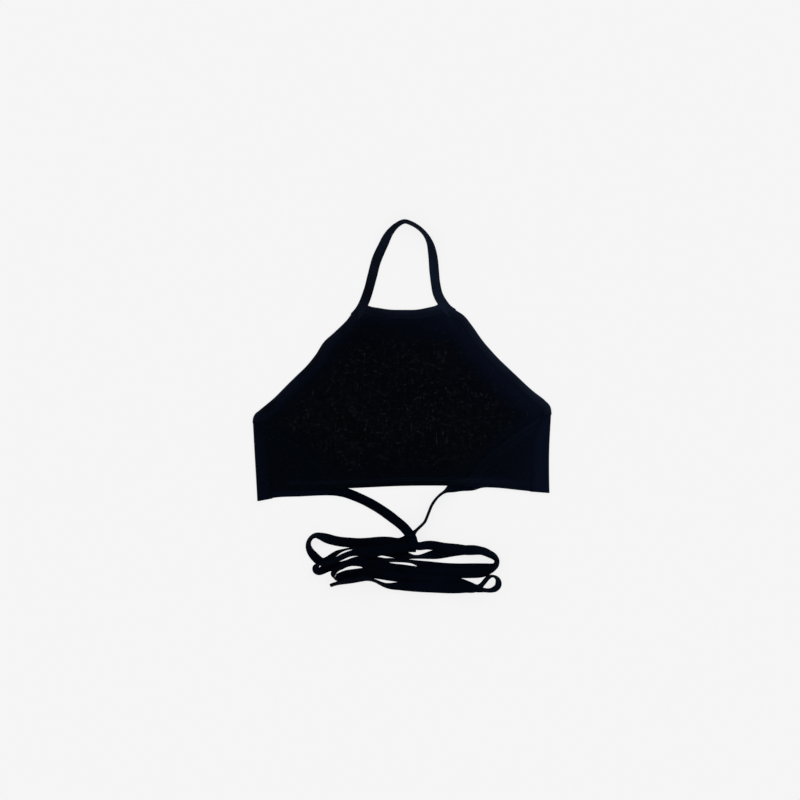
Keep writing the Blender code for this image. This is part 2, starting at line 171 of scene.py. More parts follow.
# Points x, y. The slanted upper edge of each wing, from the underarm down to its tip.
WING_SLANTS = {
    "left": (
        (-167.5, 74.5), (-150.5, 66.5), (-128.4, 50.4), (-108.7, 33.6), (-96.5, 21.5), (-84.2, 9.5),
        (-76.5, 2.4),
    ),
    "right": (
        (167, 83.5), (147.6, 71), (123.6, 53.4), (103, 38), (91, 25), (81.5, 12.5), (73.5, 5.0),
    ),
}

# Points x, y. The lower edge of each wing under the front, from its tip beside the tie to the fold.
WING_HEMS = {
    "left": ((-79.6, -9.9), (-87.6, -9.6), (-122.4, -10.8), (-154.8, -12.5), (-172.6, -16.2)),
    "right": ((75, -4.4), (86, -3.4), (94, -0.8), (104, 0.2), (138, -2.4), (174.6, -6.6)),
}
# The lower end of each wing's strip on the front, at the side seam
WING_FRONT_HEM = {"left": (-156, -13.2), "right": (153, -5.0)}
# Points x, y. Where the front is already as high as on the wing, past each end of the slanted edge
COVER_STARTS = {"left": (-181, 81), "right": (181, 92.5)}
COVER_ENDS = {
    "left": ((-72, 0.2), (-58, -3.4), (-44, -9)),
    "right": ((75, 7.8), (60, 6.4), (46, -3)),
}

# Points x, y, roll. The middle of each tie from its wing to its free end: down from the hem, then
# to and fro in loose folds, on edge where it turns back. The right tie lies under the left one.
TIES = {
    "right": (
        (72.8, 1.6, 0), (64, 0.6, 6), (57.2, -1.2, 38), (51.2, -4.6, 76), (45, -8.8, 84),
        (36.2, -19.2, 83), (30, -33.6, 83), (26.6, -41.2, 83), (20.8, -47.2, 82), (15.4, -52.4, 76),
        (9.8, -58.4, 42), (3, -63.6, 18), (-4.8, -66.2, 8), (-14.4, -65.2, 4), (-26.4, -64.7, 0),
        (-38.4, -65.8, 0), (-50.4, -66.4, 0), (-62.4, -66, 0), (-74.4, -65, 0), (-86.4, -62.4, 4),
        (-92.4, -60.4, 22), (-98.4, -58.3, 46), (-104.4, -57.4, 64), (-108.8, -59.6, 70),
        (-112, -64.2, 68), (-112.8, -69.6, 60), (-111.1, -75.2, 46), (-107.5, -80.4, 32),
        (-103.2, -85, 26), (-99.1, -88.2, 28), (-94.4, -89, 36), (-88.8, -85.9, 48),
        (-83.5, -81.6, 58), (-78, -77.8, 68), (-73.2, -75.7, 78), (-68.4, -74.2, 84), (-62.4, -73, 84),
        (-55.2, -72.8, 78), (-48, -73.6, 62), (-38.4, -75.2, 34), (-28.8, -75.4, 12),
        (-16.8, -77.2, 4), (-4.8, -79.6, -12), (3.6, -81.2, -38), (12, -82.8, -70), (19.2, -83, -74),
        (26.4, -82.1, -60), (33.6, -80.9, -36), (42, -79.9, -14), (52.8, -78.2, -4), (64.8, -76.1, 0),
        (76.8, -74.9, -10), (90, -74.9, -32), (98, -77.2, -44), (104, -80.6, -60), (108.8, -83.8, -72),
        (111.8, -87.6, -80), (110.8, -91.8, -74), (106.6, -94.8, -50), (100, -96.3, -22),
        (92, -96.7, -6), (81.6, -96.7, 0), (57.6, -96.7, 0), (45.6, -95.8, 0), (36, -94.8, -10),
        (27.6, -93.2, -28), (19.2, -90.9, -54), (12, -88.8, -71), (3.6, -87.7, -74),
        (-4.8, -87.3, -73), (-14.4, -87, -69), (-20.4, -87.6, -62), (-26.4, -87.8, -46),
        (-32.4, -87.8, -26), (-43.2, -87.8, -10), (-54, -88.3, -14), (-62.4, -89.8, -42),
        (-68.4, -91.6, -46), (-76.8, -94.4, -24), (-85.2, -94.5, -16), (-91.8, -96.7, -24),
        (-96.4, -99.3, -34), (-100.6, -100.9, -46), (-103.6, -99.2, -48), (-103.4, -95.6, -48),
        (-101, -93, -74), (-97.2, -92, -112), (-88.8, -90, -126), (-81.6, -87.6, -120),
        (-76.2, -84.8, -122), (-68.4, -81, -123), (-62.4, -78.9, -124), (-54, -77.5, -136),
        (-43.2, -78, -162), (-34, -77.4, -178), (-24, -75.2, -180), (-12, -73.2, -180),
        (0, -71.9, -180), (16.2, -71.5, -180),
    ),
    "left": (
        (-78, -4.3, 0), (-69, -6.1, 0), (-53, -12, 0), (-35.5, -20.7, 4), (-11.4, -37, 0),
        (2.4, -48.4, 0), (8.2, -55.4, 6), (11.8, -61.4, 18), (13.4, -66, 30), (16.4, -69.4, 36),
        (21.6, -70, 34), (28, -69.1, 28), (34, -69.2, 20), (40, -70.2, 8), (48, -71.6, 2),
        (57.6, -72.7, 0), (66, -73.6, 0), (76.8, -75.1, -8), (88, -75.3, -30), (96.6, -76, -40),
        (104, -78.6, -54), (110.6, -82, -68), (114.4, -87.4, -80), (113.2, -93.8, -76),
        (108.2, -97.3, -56), (103.4, -99.4, -38), (97.6, -101.4, -20), (91, -102.5, -6),
        (81.6, -102.9, 0), (57.6, -102.4, 0), (33.6, -101.3, 0), (19.2, -100.3, 0), (3.6, -98.5, 0),
        (-8.4, -97.2, 0), (-16.2, -95.8, 0), (-26.4, -93.4, 0), (-36, -92, 0), (-43.2, -91.4, -2),
        (-48, -89.4, -6), (-54, -88.5, -14), (-62.4, -89.6, -40), (-68.4, -91.8, -50),
        (-76.2, -96, -60), (-81, -99.8, -60), (-83, -104.4, -66), (-81.4, -108.2, -98),
        (-77.4, -108.2, -150), (-72, -106.4, -164), (-66, -104.5, -171), (-60, -103.6, -170),
        (-52, -102.6, -174), (-43.2, -101.6, -172), (-31.2, -103.4, -168), (-16.8, -105.8, -168),
        (-4, -107.6, -166), (12, -109, -166), (43.2, -111.6, -166), (63.6, -112.8, -170),
        (73.8, -116.2, -168), (82.4, -119.2, -156), (90, -121.6, -134), (98.4, -123, -112),
        (105.6, -123.2, -114), (111, -121.4, -126), (114.5, -117.6, -128), (114.9, -112.6, -122),
        (112.9, -108.3, -106), (108, -105.9, -96), (103.4, -107.1, -108), (99.9, -110.4, -112),
        (96.4, -114.6, -112), (92.4, -118.4, -118), (86.6, -120.4, -146), (78, -120.2, -174),
        (62.4, -121, -186), (36, -120.2, -186), (12, -118.8, -192), (-4, -118, -214),
        (-14.4, -118, -232), (-20.4, -117.1, -244), (-26.4, -114.7, -251), (-31.8, -112, -255),
        (-38.4, -109.6, -249), (-44.4, -108.4, -238), (-50.4, -109, -234), (-60, -110.8, -234),
        (-68.4, -112.3, -238), (-76.8, -114.4, -250), (-82.8, -116.1, -254), (-87, -117.6, -254),
    ),
}
TIE_STEP = 5.0
# A tie doesn't count as lying on its own last stretch, this far back along it
TIE_CLEAR = 30.0
# Room between two stretches of tie that lie on each other
TIE_GAP = 0.6
# The steepest that a tie climbs onto what lies under it, and the size of the pile's cells
TIE_SLOPE = 0.42
PILE_CELL = 1.0
SPOTS_ACROSS = 12
SPOTS_ALONG = 3
SETTLING_ROUNDS = 5

# Columns x0, y0, x1, y1, height, width. Soft creases of the front: a ridge, or a trough if negative.
FRONT_CREASES = (
    (2, 190, 3, 20, 0.30, 1.8),
    (-92, 169, -8, 169.5, 0.22, 1.6),
    (66, 214, 74, 196, 0.9, 3.2),
    (50, 204, 66, 190, 0.5, 3.0),
    (-60, 206, -74, 186, 0.5, 2.8),
    (-150, 92, -98, 84, 0.5, 4.0),
    (-142, 104, -104, 101, 0.35, 3.4),
    (152, 100, 104, 92, 0.5, 4.0),
    (146, 112, 112, 112, 0.4, 3.2),
    (-112, 62, -70, 58, 0.35, 4.5),
    (98, 66, 58, 58, 0.35, 4.5),
    (-30, 46, 14, 36, 0.3, 5.0),
    (38, 118, 62, 138, 0.3, 4.0),
    (-58, 120, -84, 140, 0.3, 4.2),
)
# Columns x0, y0, x1, y1, height, width. Soft creases of the wings, on the strip over the front.
WING_CREASES = (
    (-172, 62, -163, 55, 0.35, 3.0),
    (-174, 30, -160, 24, 0.3, 2.6),
    (174, 70, 162, 62, 0.35, 3.0),
    (175, 34, 158, 30, 0.3, 2.8),
)

# How far from each of its edges the front's single layer starts to show, and over what distance
SINGLE_STARTS = {"wing": (4, 20), "armhole": (13, 28), "neck": (20, 40), "hem": (12, 22)}

KNIT_THICKNESS = 0.9
STRIP_THICKNESS = 1.9
TIE_THICKNESS = 2.1

# How far a panel's edge reaches into the binding folded over it, the height at which it does, and
# the way over which it comes up to that height
TUCK = 2.5
TUCK_HEIGHT = 0.65
TUCK_RISE = 4.0
# How far the two cloths of a side seam reach past its line
SEAM_LAP = 0.6
# Rows that carry a strip on into what it is sewn to, where it thins out over this length
SEWN_END = 7.0
STRAP_ROOTS = ((-58, 204.5, 0), (61, 209, 0))
BAND_ENDS = ((-45.9, 219.7), (46.8, 221.8))
# Where the side seams end, under the armhole bindings
UNDERARMS = {"left": (-171.6, 80.4), "right": (170.6, 90.8)}
ARMHOLE_ROOTS = {"left": (-179.4, 77.4), "right": (178.5, 87.4)}
TIE_ROOTS = {"left": (-87, -3.4, 0), "right": (84, 2.6, 0)}


def smooth_line(rows, step):
    """Points about step apart on a smooth curve through the rows, which carries every column along."""
    rows = np.array(rows, float)
    spans = np.linalg.norm(np.diff(rows[:, :2], axis=0), axis=1)
    slopes = np.diff(rows, axis=0) / spans[:, None]
    before, after = spans[:-1, None], spans[1:, None]
    inner = (slopes[:-1] * after + slopes[1:] * before) / (before + after)
    slopes = np.vstack([slopes[:1], inner, slopes[-1:]])
    points = []
    for i, span in enumerate(spans):
        count = max(1, round(span / step))
        for t in np.arange(count) / count:
            start = (1 + 2 * t) * (1 - t) ** 2 * rows[i] + t * (1 - t) ** 2 * span * slopes[i]
            end = t * t * (3 - 2 * t) * rows[i + 1] - t * t * (1 - t) * span * slopes[i + 1]
            points.append(start + end)
    return np.array(points + [rows[-1]])


def directions(line):
    """The way ahead and the way to the left at each point of a line, seen from above."""
    ahead = np.gradient(line[:, :2], axis=0)
    ahead /= np.linalg.norm(ahead, axis=1)[:, None]
    return ahead, np.stack([-ahead[:, 1], ahead[:, 0]], axis=1)


def beside(rows, distance):
    """The line that runs this far to the left of another, or to its right if negative."""
    line = np.array(rows, float)
    return line[:, :2] + directions(line)[1] * distance


def run_of(line):
    """How far along a line each of its points lies."""
    return np.append(0, np.cumsum(np.linalg.norm(np.diff(line, axis=0), axis=1)))


def spread(rows, count):
    """Evenly spaced points along a line of straight pieces."""
    line = np.array(rows, float)[:, :2]
    along = run_of(line)
    at = np.linspace(0, along[-1], count)
    return np.stack([np.interp(at, along, line[:, 0]), np.interp(at, along, line[:, 1])], axis=1)


def eased(value):
    """The value held between 0 and 1, with a soft start and a soft end."""
    value = np.clip(value, 0.0, 1.0)
    return value * value * (3 - 2 * value)


def bell(away, width):
    """1 in the middle of a soft ridge, and less the further away from it."""
    return np.exp(-((away / width) ** 2))


def side_of(rows, spots):
    """Distance of each spot from a line, positive on the right of its run."""
    best = np.full(len(spots), np.inf)
    turns = np.zeros(len(spots))
    for start, end in zip(rows[:-1], rows[1:]):
        start, run = np.array(start, float), np.subtract(end, start)
        t = np.clip((spots - start) @ run / (run @ run), 0, 1)
        off = spots - start - t[:, None] * run
        away = np.linalg.norm(off, axis=1)
        turn = run[1] * off[:, 0] - run[0] * off[:, 1]
        nearer = away < best
        best[nearer], turns[nearer] = away[nearer], turn[nearer]
    return np.copysign(best, turns)


def away_from(line, spots):
    """Distance of each spot from a line, on either side."""
    return np.abs(side_of(line, spots))


COVER_LINES = {
    side: smooth_line([COVER_STARTS[side], *slant[:-1], *COVER_ENDS[side]], OUTLINE_STEP)
    for side, slant in WING_SLANTS.items()
}


def inward_of(side, spots):
    """How far inside a wing's slanted edge each spot lies, negative over the front's single layer."""
    return side_of(COVER_LINES[side], spots) * (1 if side == "left" else -1)


def rest_height(spots):
    """How high the front lies at each spot: on the surface, or on the wing and binding under it."""
    height = np.zeros(len(spots))
    for side, there in (("left", spots[:, 0] < 0), ("right", spots[:, 0] >= 0)):
        inward = inward_of(side, spots[there])
        climbed = CREST * eased(1 + (inward + CLIMB_END) / CLIMB)
        height[there] = climbed - SETTLE * eased((inward - SETTLE_START) / SETTLE_LENGTH)
    return height


def crease_heights(creases, spots):
    """The height that soft ridges and troughs add at each spot, faded at their ends."""
    added = np.zeros(len(spots))
    for x0, y0, x1, y1, height, width in creases:
        start, run = np.array((x0, y0), float), np.array((x1 - x0, y1 - y0), float)
        share = (spots - start) @ run / (run @ run)
        sway = 0.16 * width * np.sin(share * 7 + x0)
        across = np.abs((spots - start) @ np.array((-run[1], run[0])) / np.linalg.norm(run) - sway)
        fade = eased(share / 0.35) * eased((1 - share) / 0.45)
        added += height * fade * bell(across, width)
    return added


def slow_waves(spots):
    """The unevenness of cloth that was smoothed out by hand, a fraction of a millimetre high."""
    x, y = spots[:, 0], spots[:, 1]
    wave = 0.12 * np.sin(x / 19 + 1.3) * np.cos(y / 27 + 0.4)
    wave += 0.08 * np.sin(x / 8.3 + y / 13.1) + 0.05 * np.sin(x / 5.1 - y / 6.7 + 2.0)
    return wave


def world(points):
    """Points of the tables in metres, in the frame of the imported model."""
    moved = np.array(points, float).reshape(-1, 3) + (*TO_CENTRE, 0)
    return moved * MM


def volume_of(points, faces):
    """Signed volume inside a closed mesh of four-sided faces."""
    corners = points[faces]
    first = np.cross(corners[:, 1], corners[:, 2])
    second = np.cross(corners[:, 2], corners[:, 3])
    return float(np.sum(corners[:, 0] * (first + second)))


def closed_mesh(name, points, faces, flat_places, material):
    """A piece from table points and four-sided faces, its UV map in metres on the flat cloth."""
    faces = np.array(faces)
    if volume_of(np.array(points, float), faces) < 0:
        faces = faces[:, ::-1]
    mesh = bpy.data.meshes.new(name)
    mesh.from_pydata(world(points).tolist(), [], faces.tolist())
    mesh.validate()
    places = mesh.uv_layers.new(name="cloth")
    corners = np.zeros(len(mesh.loops), int)
    mesh.loops.foreach_get("vertex_index", corners)
    places.data.foreach_set("uv", (np.array(flat_places, float)[corners] * MM).ravel())
    mesh.materials.append(material)
    mesh.shade_smooth()
    piece = bpy.data.objects.new(name, mesh)
    bpy.context.scene.collection.objects.link(piece)
    return piece


def grid_normals(grid):
    """The unit normal at each point of a grid of points."""
    across = np.gradient(grid, axis=1)
    up = np.gradient(grid, axis=0)
    normal = np.cross(across, up)
    return normal / np.linalg.norm(normal, axis=2)[:, :, None]


def cloth_shell(name, grid, thickness, flat_grid, material):
    """A wall of cloth round a grid of points, with round edges. Thickness is one number or a grid."""
    rows, columns = grid.shape[:2]
    half = np.broadcast_to(np.asarray(thickness, float) / 2, (rows, columns))
    edge = half[0, 0]
    grid = grid.copy()
    for border, inside in (((0,), (1,)), ((-1,), (-2,))):
        pull = grid[inside[0]] - grid[border[0]]
        grid[border[0]] += pull / np.linalg.norm(pull, axis=1)[:, None] * edge
        pull = grid[:, inside[0]] - grid[:, border[0]]
        grid[:, border[0]] += pull / np.linalg.norm(pull, axis=1)[:, None] * edge
    normal = grid_normals(grid)
    upper = grid + normal * half[:, :, None]
    lower = grid - normal * half[:, :, None]
    points = [*upper.reshape(-1, 3), *lower.reshape(-1, 3)]
    places = [*flat_grid.reshape(-1, 2)] * 2
    corners = np.arange(rows * columns).reshape(rows, columns)
    quads = np.stack([corners[:-1, :-1], corners[:-1, 1:], corners[1:, 1:], corners[1:, :-1]], axis=-1)
    quads = quads.reshape(-1, 4)
    faces = [*quads, *(quads + rows * columns)[:, ::-1]]
    ring = [(0, j) for j in range(columns - 1)] + [(i, columns - 1) for i in range(rows - 1)]
    ring += [(rows - 1, j) for j in range(columns - 1, 0, -1)] + [(i, 0) for i in range(rows - 1, 0, -1)]
    rings = [[corners[i, j] for i, j in ring]]
    for angle in np.radians((45, 0, -45)):
        start = len(points)
        for i, j in ring:
            inner = (min(max(i, 1), rows - 2), min(max(j, 1), columns - 2))
            out = grid[i, j] - grid[inner]
            out -= normal[i, j] * (out @ normal[i, j])
            out /= np.linalg.norm(out)
            reach = half[i, j] * (math.cos(angle) * out + math.sin(angle) * normal[i, j])
            points.append(grid[i, j] + reach)
            places.append(flat_grid[i, j])
        rings.append(list(range(start, len(points))))
    rings.append([corners[i, j] + rows * columns for i, j in ring])
    for first, second in zip(rings[:-1], rings[1:]):
        for k in range(len(ring)):
            after = (k + 1) % len(ring)
            faces.append((first[k], second[k], second[after], first[after]))
    return closed_mesh(name, points, faces, places, material)


def strip_section(width, thickness):
    """Points round a flat strip with round edges: places across, places up and the way round."""
    across, up = [], []
    reach = (width - thickness) / 2
    radius = thickness / 2
    for way in (1, -1):
        for share in np.linspace(-1, 1, FACE_POINTS)[:-1]:
            across.append(-way * share * reach)
            up.append(way * radius)
        for angle in np.linspace(90, -90, EDGE_POINTS + 1)[:-1]:
            across.append(-way * (reach + radius * math.cos(math.radians(angle))))
            up.append(way * radius * math.sin(math.radians(angle)))
    return np.array(across), np.array(up)


def half_height(roll, width, thickness):
    """Half the height of a strip that is rolled this far from flat."""
    return width / 2 * np.abs(np.sin(roll)) + thickness / 2 * np.abs(np.cos(roll))


def strip_frames(line, width, thickness):
    """Middle, way across and way out of the face at each point of x, y, roll and lift."""
    left = directions(line)[1]
    roll = np.radians(line[:, 2])
    high = line[:, 3] + half_height(roll, width, thickness) + EDGE_ROOM * np.abs(np.sin(roll))
    middle = np.column_stack([line[:, :2], high])
    across = np.column_stack([left * np.cos(roll)[:, None], np.sin(roll)])
    ahead = np.gradient(middle, axis=0)
    ahead /= np.linalg.norm(ahead, axis=1)[:, None]
    out = np.cross(ahead, across)
    out /= np.linalg.norm(out, axis=1)[:, None]
    return middle, across, out


def cloth_strip(name, line, width, thickness, packed_thickness, material, sewn=(0, 0), ribs=0.0):
    """A doubled strip with round edges along a line of x, y, roll and lift, ribbed across if asked."""
    middle, across, out = strip_frames(line, width, packed_thickness)
    along = run_of(middle)
    section_across, section_up = strip_section(width, thickness)
    swell = 1 + ribs * np.cos(along / RIB_PITCH * math.tau) + 0.05 * np.sin(along / 23 + width)
    narrow = 1 + 0.012 * np.sin(along / 9.5) + 0.01 * np.sin(along / 4.1 + 1)
    closing = np.ones(len(line))
    for from_end, thins in ((along, sewn[0]), (along[-1] - along, sewn[1])):
        closing *= np.sqrt(np.clip(from_end / (SEWN_END if thins else thickness / 2), 0.04, 1))
    points, places = [], []
    round_run = run_of(np.column_stack([section_across, section_up]))
    for i in range(len(line)):
        for k in range(len(section_across)):
            side = section_across[k] * narrow[i]
            height = section_up[k] * swell[i] * closing[i]
            points.append(middle[i] + across[i] * side + out[i] * height)
            places.append((along[i], round_run[k]))
    count = len(section_across)
    rings = np.array(points).reshape(len(line), count, 3)
    rings[:, :, 2] += np.maximum(-rings[:, :, 2].min(axis=1), 0)[:, None]
    faces = []
    for i in range(len(line) - 1):
        for k in range(count):
            after = (k + 1) % count
            faces.append((i * count + k, i * count + after, (i + 1) * count + after, (i + 1) * count + k))
    half = count // 2
    for start, turn in ((0, 1), ((len(line) - 1) * count, -1)):
        for k in range(half - 1):
            loop = (start + k, start + count - 1 - k, start + count - 2 - k, start + k + 1)
            faces.append(loop[::turn])
    return closed_mesh(name, rings.reshape(-1, 3), faces, places, material)


def strip_line(rows, lift=None):
    """A strip's middle line with its roll and the height it lies at."""
    rows = [(row[0], row[1], row[2] if len(row) > 2 else 0) for row in rows]
    line = smooth_line(rows, STRIP_STEP)
    heights = rest_height(line[:, :2]) if lift is None else np.full(len(line), float(lift))
    return np.column_stack([line, heights])


def neck_band_line():
    return strip_line(beside([BAND_ENDS[0], *NECK_EDGE, BAND_ENDS[1]], -NECK_BAND_WIDTH / 2))


class Wire:
    """A value in a node tree. Sums, products and comparisons of wires add their Math nodes."""

    def __init__(self, tree, socket=None):
        self.tree = tree
        self.socket = socket

    def make(self, kind, settings=None, values=None, output=0):
        """Adds a node of a kind, with its settings, then its sockets' values or links."""
        node = self.tree.nodes.new(kind)
        for name, setting in (settings or {}).items():
            setattr(node, name, setting)
        for name, value in (values or {}).items():
            if isinstance(value, Wire):
                self.tree.links.new(value.socket, node.inputs[name])
            else:
                node.inputs[name].default_value = value
        return Wire(self.tree, node.outputs[output])

    def link(self, socket):
        self.tree.links.new(self.socket, socket)

    def twin(self, output):
        """Another output of this value's node."""
        return Wire(self.tree, self.socket.node.outputs[output])

    def maths(self, operation, *values):
        return self.make("ShaderNodeMath", {"operation": operation}, dict(enumerate(values)))

    def alone(self, operation):
        """This value after an operation that takes only one."""
        return self.maths(operation, self)

    def __add__(self, other):
        return self.maths("ADD", self, other)

    def __sub__(self, other):
        return self.maths("SUBTRACT", self, other)

    def __rsub__(self, other):
        return self.maths("SUBTRACT", other, self)

    def __mul__(self, other):
        return self.maths("MULTIPLY", self, other)

    def __truediv__(self, other):
        return self.maths("DIVIDE", self, other)

    def __rtruediv__(self, other):
        return self.maths("DIVIDE", other, self)

    def between(self, low, high):
        """This value's place between two others, from 0 to 1 with soft ends."""
        settings = {"interpolation_type": "SMOOTHSTEP"}
        return self.make("ShaderNodeMapRange", settings, {0: self, 1: low, 2: high, 3: 0.0, 4: 1.0})

    def mix(self, first, second):
        """A colour mixed from two by this share."""
        return self.make("ShaderNodeMix", {"data_type": "RGBA"}, {0: self, 6: first, 7: second}, 2)

    def noise(self, where, scale, detail=2.0):
        """Soft noise round 0.5 at places in metres."""
        values = {"Vector": where, "Scale": scale, "Detail": detail}
        return self.make("ShaderNodeTexNoise", {"noise_dimensions": "3D"}, values)

    def cells(self, where, scale):
        """Distance to the middle of the nearest of many flat cells. The twin Color differs by cell."""
        values = {"Vector": where, "Scale": scale}
        return self.make("ShaderNodeTexVoronoi", {"voronoi_dimensions": "2D"}, values)

    def parts(self):
        """The first part of this vector. Its twins 1 and 2 are the others."""
        return self.make("ShaderNodeSeparateXYZ", values={0: self})

    def stored(self, name):
        """A value that a piece stores for each of its points."""
        return self.make("ShaderNodeAttribute", {"attribute_name": name}, output=2)


def new_material(name):
    material = bpy.data.materials.new(name)
    material.use_nodes = True
    nodes = Wire(material.node_tree)
    return material, nodes, material.node_tree.nodes["Principled BSDF"]


def opaque(colour):
    """A colour as nodes take it, with its fourth part."""
    return (*colour, 1.0)


def stitch_height(wide, high, pitch):
    """Height of plain knit stitches, small stacked Vs, at places across and along the cloth."""
    off = ((wide / pitch[0]).alone("FRACT") - 0.5).alone("ABSOLUTE")
    leg = (off * math.tau).alone("SINE")
    turn = ((high / pitch[1] - off * 1.5) * math.tau).alone("COSINE")
    return leg * (turn * 0.35 + 0.65)


def glints(nodes, cloth, settings):
    """How much each place of the knit shines, where one stitch in many catches the light."""
    cells = nodes.cells(cloth, settings.glint_scale)
    chance = cells.twin("Color").parts()
    bright = settings.glint_share / (1.0 + settings.glint_share - chance)
    return bright * (1.0 - cells.between(0.28, 0.46))


class Knit:
    """A knit material in the making: where its stitches are, their height, fuzz, painted shade between the
    stitches and the share of painted light towards the right.
    """

    def __init__(self, name, settings, pitch, wobbles, scales, lengthwise=False):
        self.material, self.nodes, self.shader = new_material(name)
        self.settings = settings
        self.cloth = self.nodes.make("ShaderNodeUVMap", {"uv_map": "cloth"})
        place = self.nodes.make("ShaderNodeTexCoord", output=3)
        wobble_scale, blotch_scale, fuzz_scale = scales
        wobble = self.nodes.noise(self.cloth, wobble_scale) - 0.5
        self.first = self.cloth.parts()
        places = (self.first + wobble * wobbles[0], self.first.twin(1) + wobble * wobbles[1])
        self.height = stitch_height(*(places[::-1] if lengthwise else places), pitch)
        self.blotches = self.nodes.noise(place, blotch_scale).between(0.3, 0.7)
        self.fuzz = self.nodes.noise(place, fuzz_scale, 3.0)
        self.painted_light_from_right = place.parts()
        # Painted shade between the stitches, where they and their fuzz are low
        self.dark = (self.height * 0.5 + self.fuzz * 0.5).between(0.2, 0.8) * 0.6 + 0.4

    def shaded(self, colour, dark):
        """The colour, scaled by painted shade: darker between the stitches."""
        return self.nodes.make("ShaderNodeVectorMath", {"operation": "SCALE"}, {0: colour, "Scale": dark})

    def finish(self, colour, fuzz_share, depth, roughness):
        colour.link(self.shader.inputs["Base Color"])
        values = {"Strength": 1.0, "Distance": depth, "Height": self.height + self.fuzz * fuzz_share}
        self.nodes.make("ShaderNodeBump", values=values).link(self.shader.inputs["Normal"])
        for name, value in (("Roughness", roughness), ("Specular IOR Level", self.settings.gloss),
                            ("Sheen Weight", self.settings.sheen), ("Sheen Roughness", 0.5),
                            ("Sheen Tint", opaque(self.settings.sheen_colour))):
            self.shader.inputs[name].default_value = value
        return self.material


def knit_material(name, settings, colours, front):
    """Fine plain knit: small stacked stitches with a little painted glint, painted shade between them and
    painted light towards the right and near the edges, and on the front painted light and shade along the
    ridges, and pinholes where it is a single layer."""
    pitch = (settings.stitch_width, settings.stitch_height)
    knit = Knit(name, settings, pitch, (0.0009, 0.0007), (240.0, 21.0, 1900.0))
    nodes = knit.nodes
    # Painted light towards the right, mixed with random blotches
    painted_light_from_right = knit.painted_light_from_right.between(-0.02, 0.15)
    light = painted_light_from_right * 0.6 + knit.blotches * 0.4
    colour = light.mix(opaque(colours[0]), opaque(colours[1]))
    dark = knit.dark
    shine = glints(nodes, knit.cloth, settings)
    if front:
        # Painted light near the bindings and seams, most of all on the right
        edge = nodes.stored("edge")
        single = nodes.stored("single")
        # Painted light on the ridges, creases and hem lines, and painted shade beside the ridges
        dark = dark * (nodes.stored("painted_ridge_light") * settings.painted_ridge_light + 1.0) * (1.0 - single * 0.62)
        shine = shine * (single * 0.8 + 0.2)
    else:
        # Painted light near the side fold, more of it towards the right
        edge = knit.first.between(-0.006, 0.014) * (painted_light_from_right * 0.75 + 0.40)
        shine = shine * 0.18
    shaded = knit.shaded(edge.mix(colour, opaque(settings.painted_edge_light_colour)), dark)
    material = knit.finish(shine.mix(shaded, opaque(settings.glint_colour)), 0.35, 0.00022, 0.85)
    if front:
        cells = nodes.cells(knit.cloth, 1 / settings.hole_spacing)
        chance = cells.twin("Color").parts()
        size = chance.twin(1) * 0.5 + 0.5
        open_cell = chance.maths("LESS_THAN", chance, single * single * settings.hole_share)
        inside = cells.maths("LESS_THAN", cells, size * settings.hole_size)
        (1 - open_cell * inside).link(knit.shader.inputs["Alpha"])
    return material


def strip_material(name, settings, colours, bound=False, ribs=0.0):
    """Doubled knit of the strips and ties, closer than the panels, with painted shade in lines between its
    ribs and painted light towards the right.
    """
    pitch = (settings.stitch_width * 0.9, settings.stitch_height)
    knit = Knit(name, settings, pitch, (0.0007, 0.0007), (260.0, 34.0, 2100.0), lengthwise=True)
    # Painted light towards the right, mixed with random blotches
    share = knit.blotches * 0.45 + knit.painted_light_from_right.between(-0.04, 0.05) * 0.55
    dark = knit.dark
    # Painted light along a binding's outer edge, and painted shade towards its inner one
    if bound:
        outer = knit.nodes.stored("outer")
        dark = dark * (outer * outer * 0.85 + 0.58)
    # Painted shade between the ribs
    if ribs:
        crest = (knit.first * (math.tau / (RIB_PITCH * MM))).alone("COSINE")
        dark = dark * (crest * ribs + 1.0)
    colour = share.mix(opaque(colours[0]), opaque(colours[1]))
    return knit.finish(knit.shaded(colour, dark), 0.4, 0.0002, 0.8)


def thread_material(name, settings):
    """Twisted sewing thread."""
    material, nodes, shader = new_material(name)
    twist = nodes.noise(nodes.make("ShaderNodeTexCoord", output=3), 2600.0)
    colour = twist.between(0.3, 0.7).mix(opaque(settings.strip_colour), opaque(settings.strip_light))
    colour.link(shader.inputs["Base Color"])
    values = {"Strength": 1.0, "Distance": 0.0001, "Height": twist}
    nodes.make("ShaderNodeBump", values=values).link(shader.inputs["Normal"])
    shader.inputs["Roughness"].default_value = 0.6
    shader.inputs["Specular IOR Level"].default_value = settings.gloss * 2
    return material


def shared_material(name, maker, *arguments):
    """A material by name, made once."""
    return bpy.data.materials.get(name) or maker(name, *arguments)


def wear(piece, node):
    """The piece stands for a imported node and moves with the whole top."""
    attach(piece, "root")
    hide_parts(node)
    return piece


def blended_patch(bottom, top, left, right):
    """A grid of points that fills the space between four edges, from left to right and upwards."""
    u = np.linspace(0, 1, len(bottom))[None, :, None]
    v = np.linspace(0, 1, len(left))[:, None, None]
    low = (1 - u) * bottom[0] + u * bottom[-1]
    high = (1 - u) * top[0] + u * top[-1]
    between = (1 - v) * bottom[None] + v * top[None] + (1 - u) * left[:, None] + u * right[:, None]
    return between - (1 - v) * low - v * high


def side_edge(side):
    """The front panel's edge at one side: up the seam, then up the inside of the armhole binding."""
    inward = -1 if side == "left" else 1
    armhole = beside(ARMHOLES[side], inward * (ARMHOLE_WIDTH - TUCK))
    seam = smooth_line([*SIDE_SEAMS[side], UNDERARMS[side]], OUTLINE_STEP)
    low = spread(seam, SEAM_ROWS) + (inward * SEAM_LAP, 0)
    high = spread(smooth_line(armhole[1:], OUTLINE_STEP), PANEL_ROWS - SEAM_ROWS)
    return np.vstack([low, high])


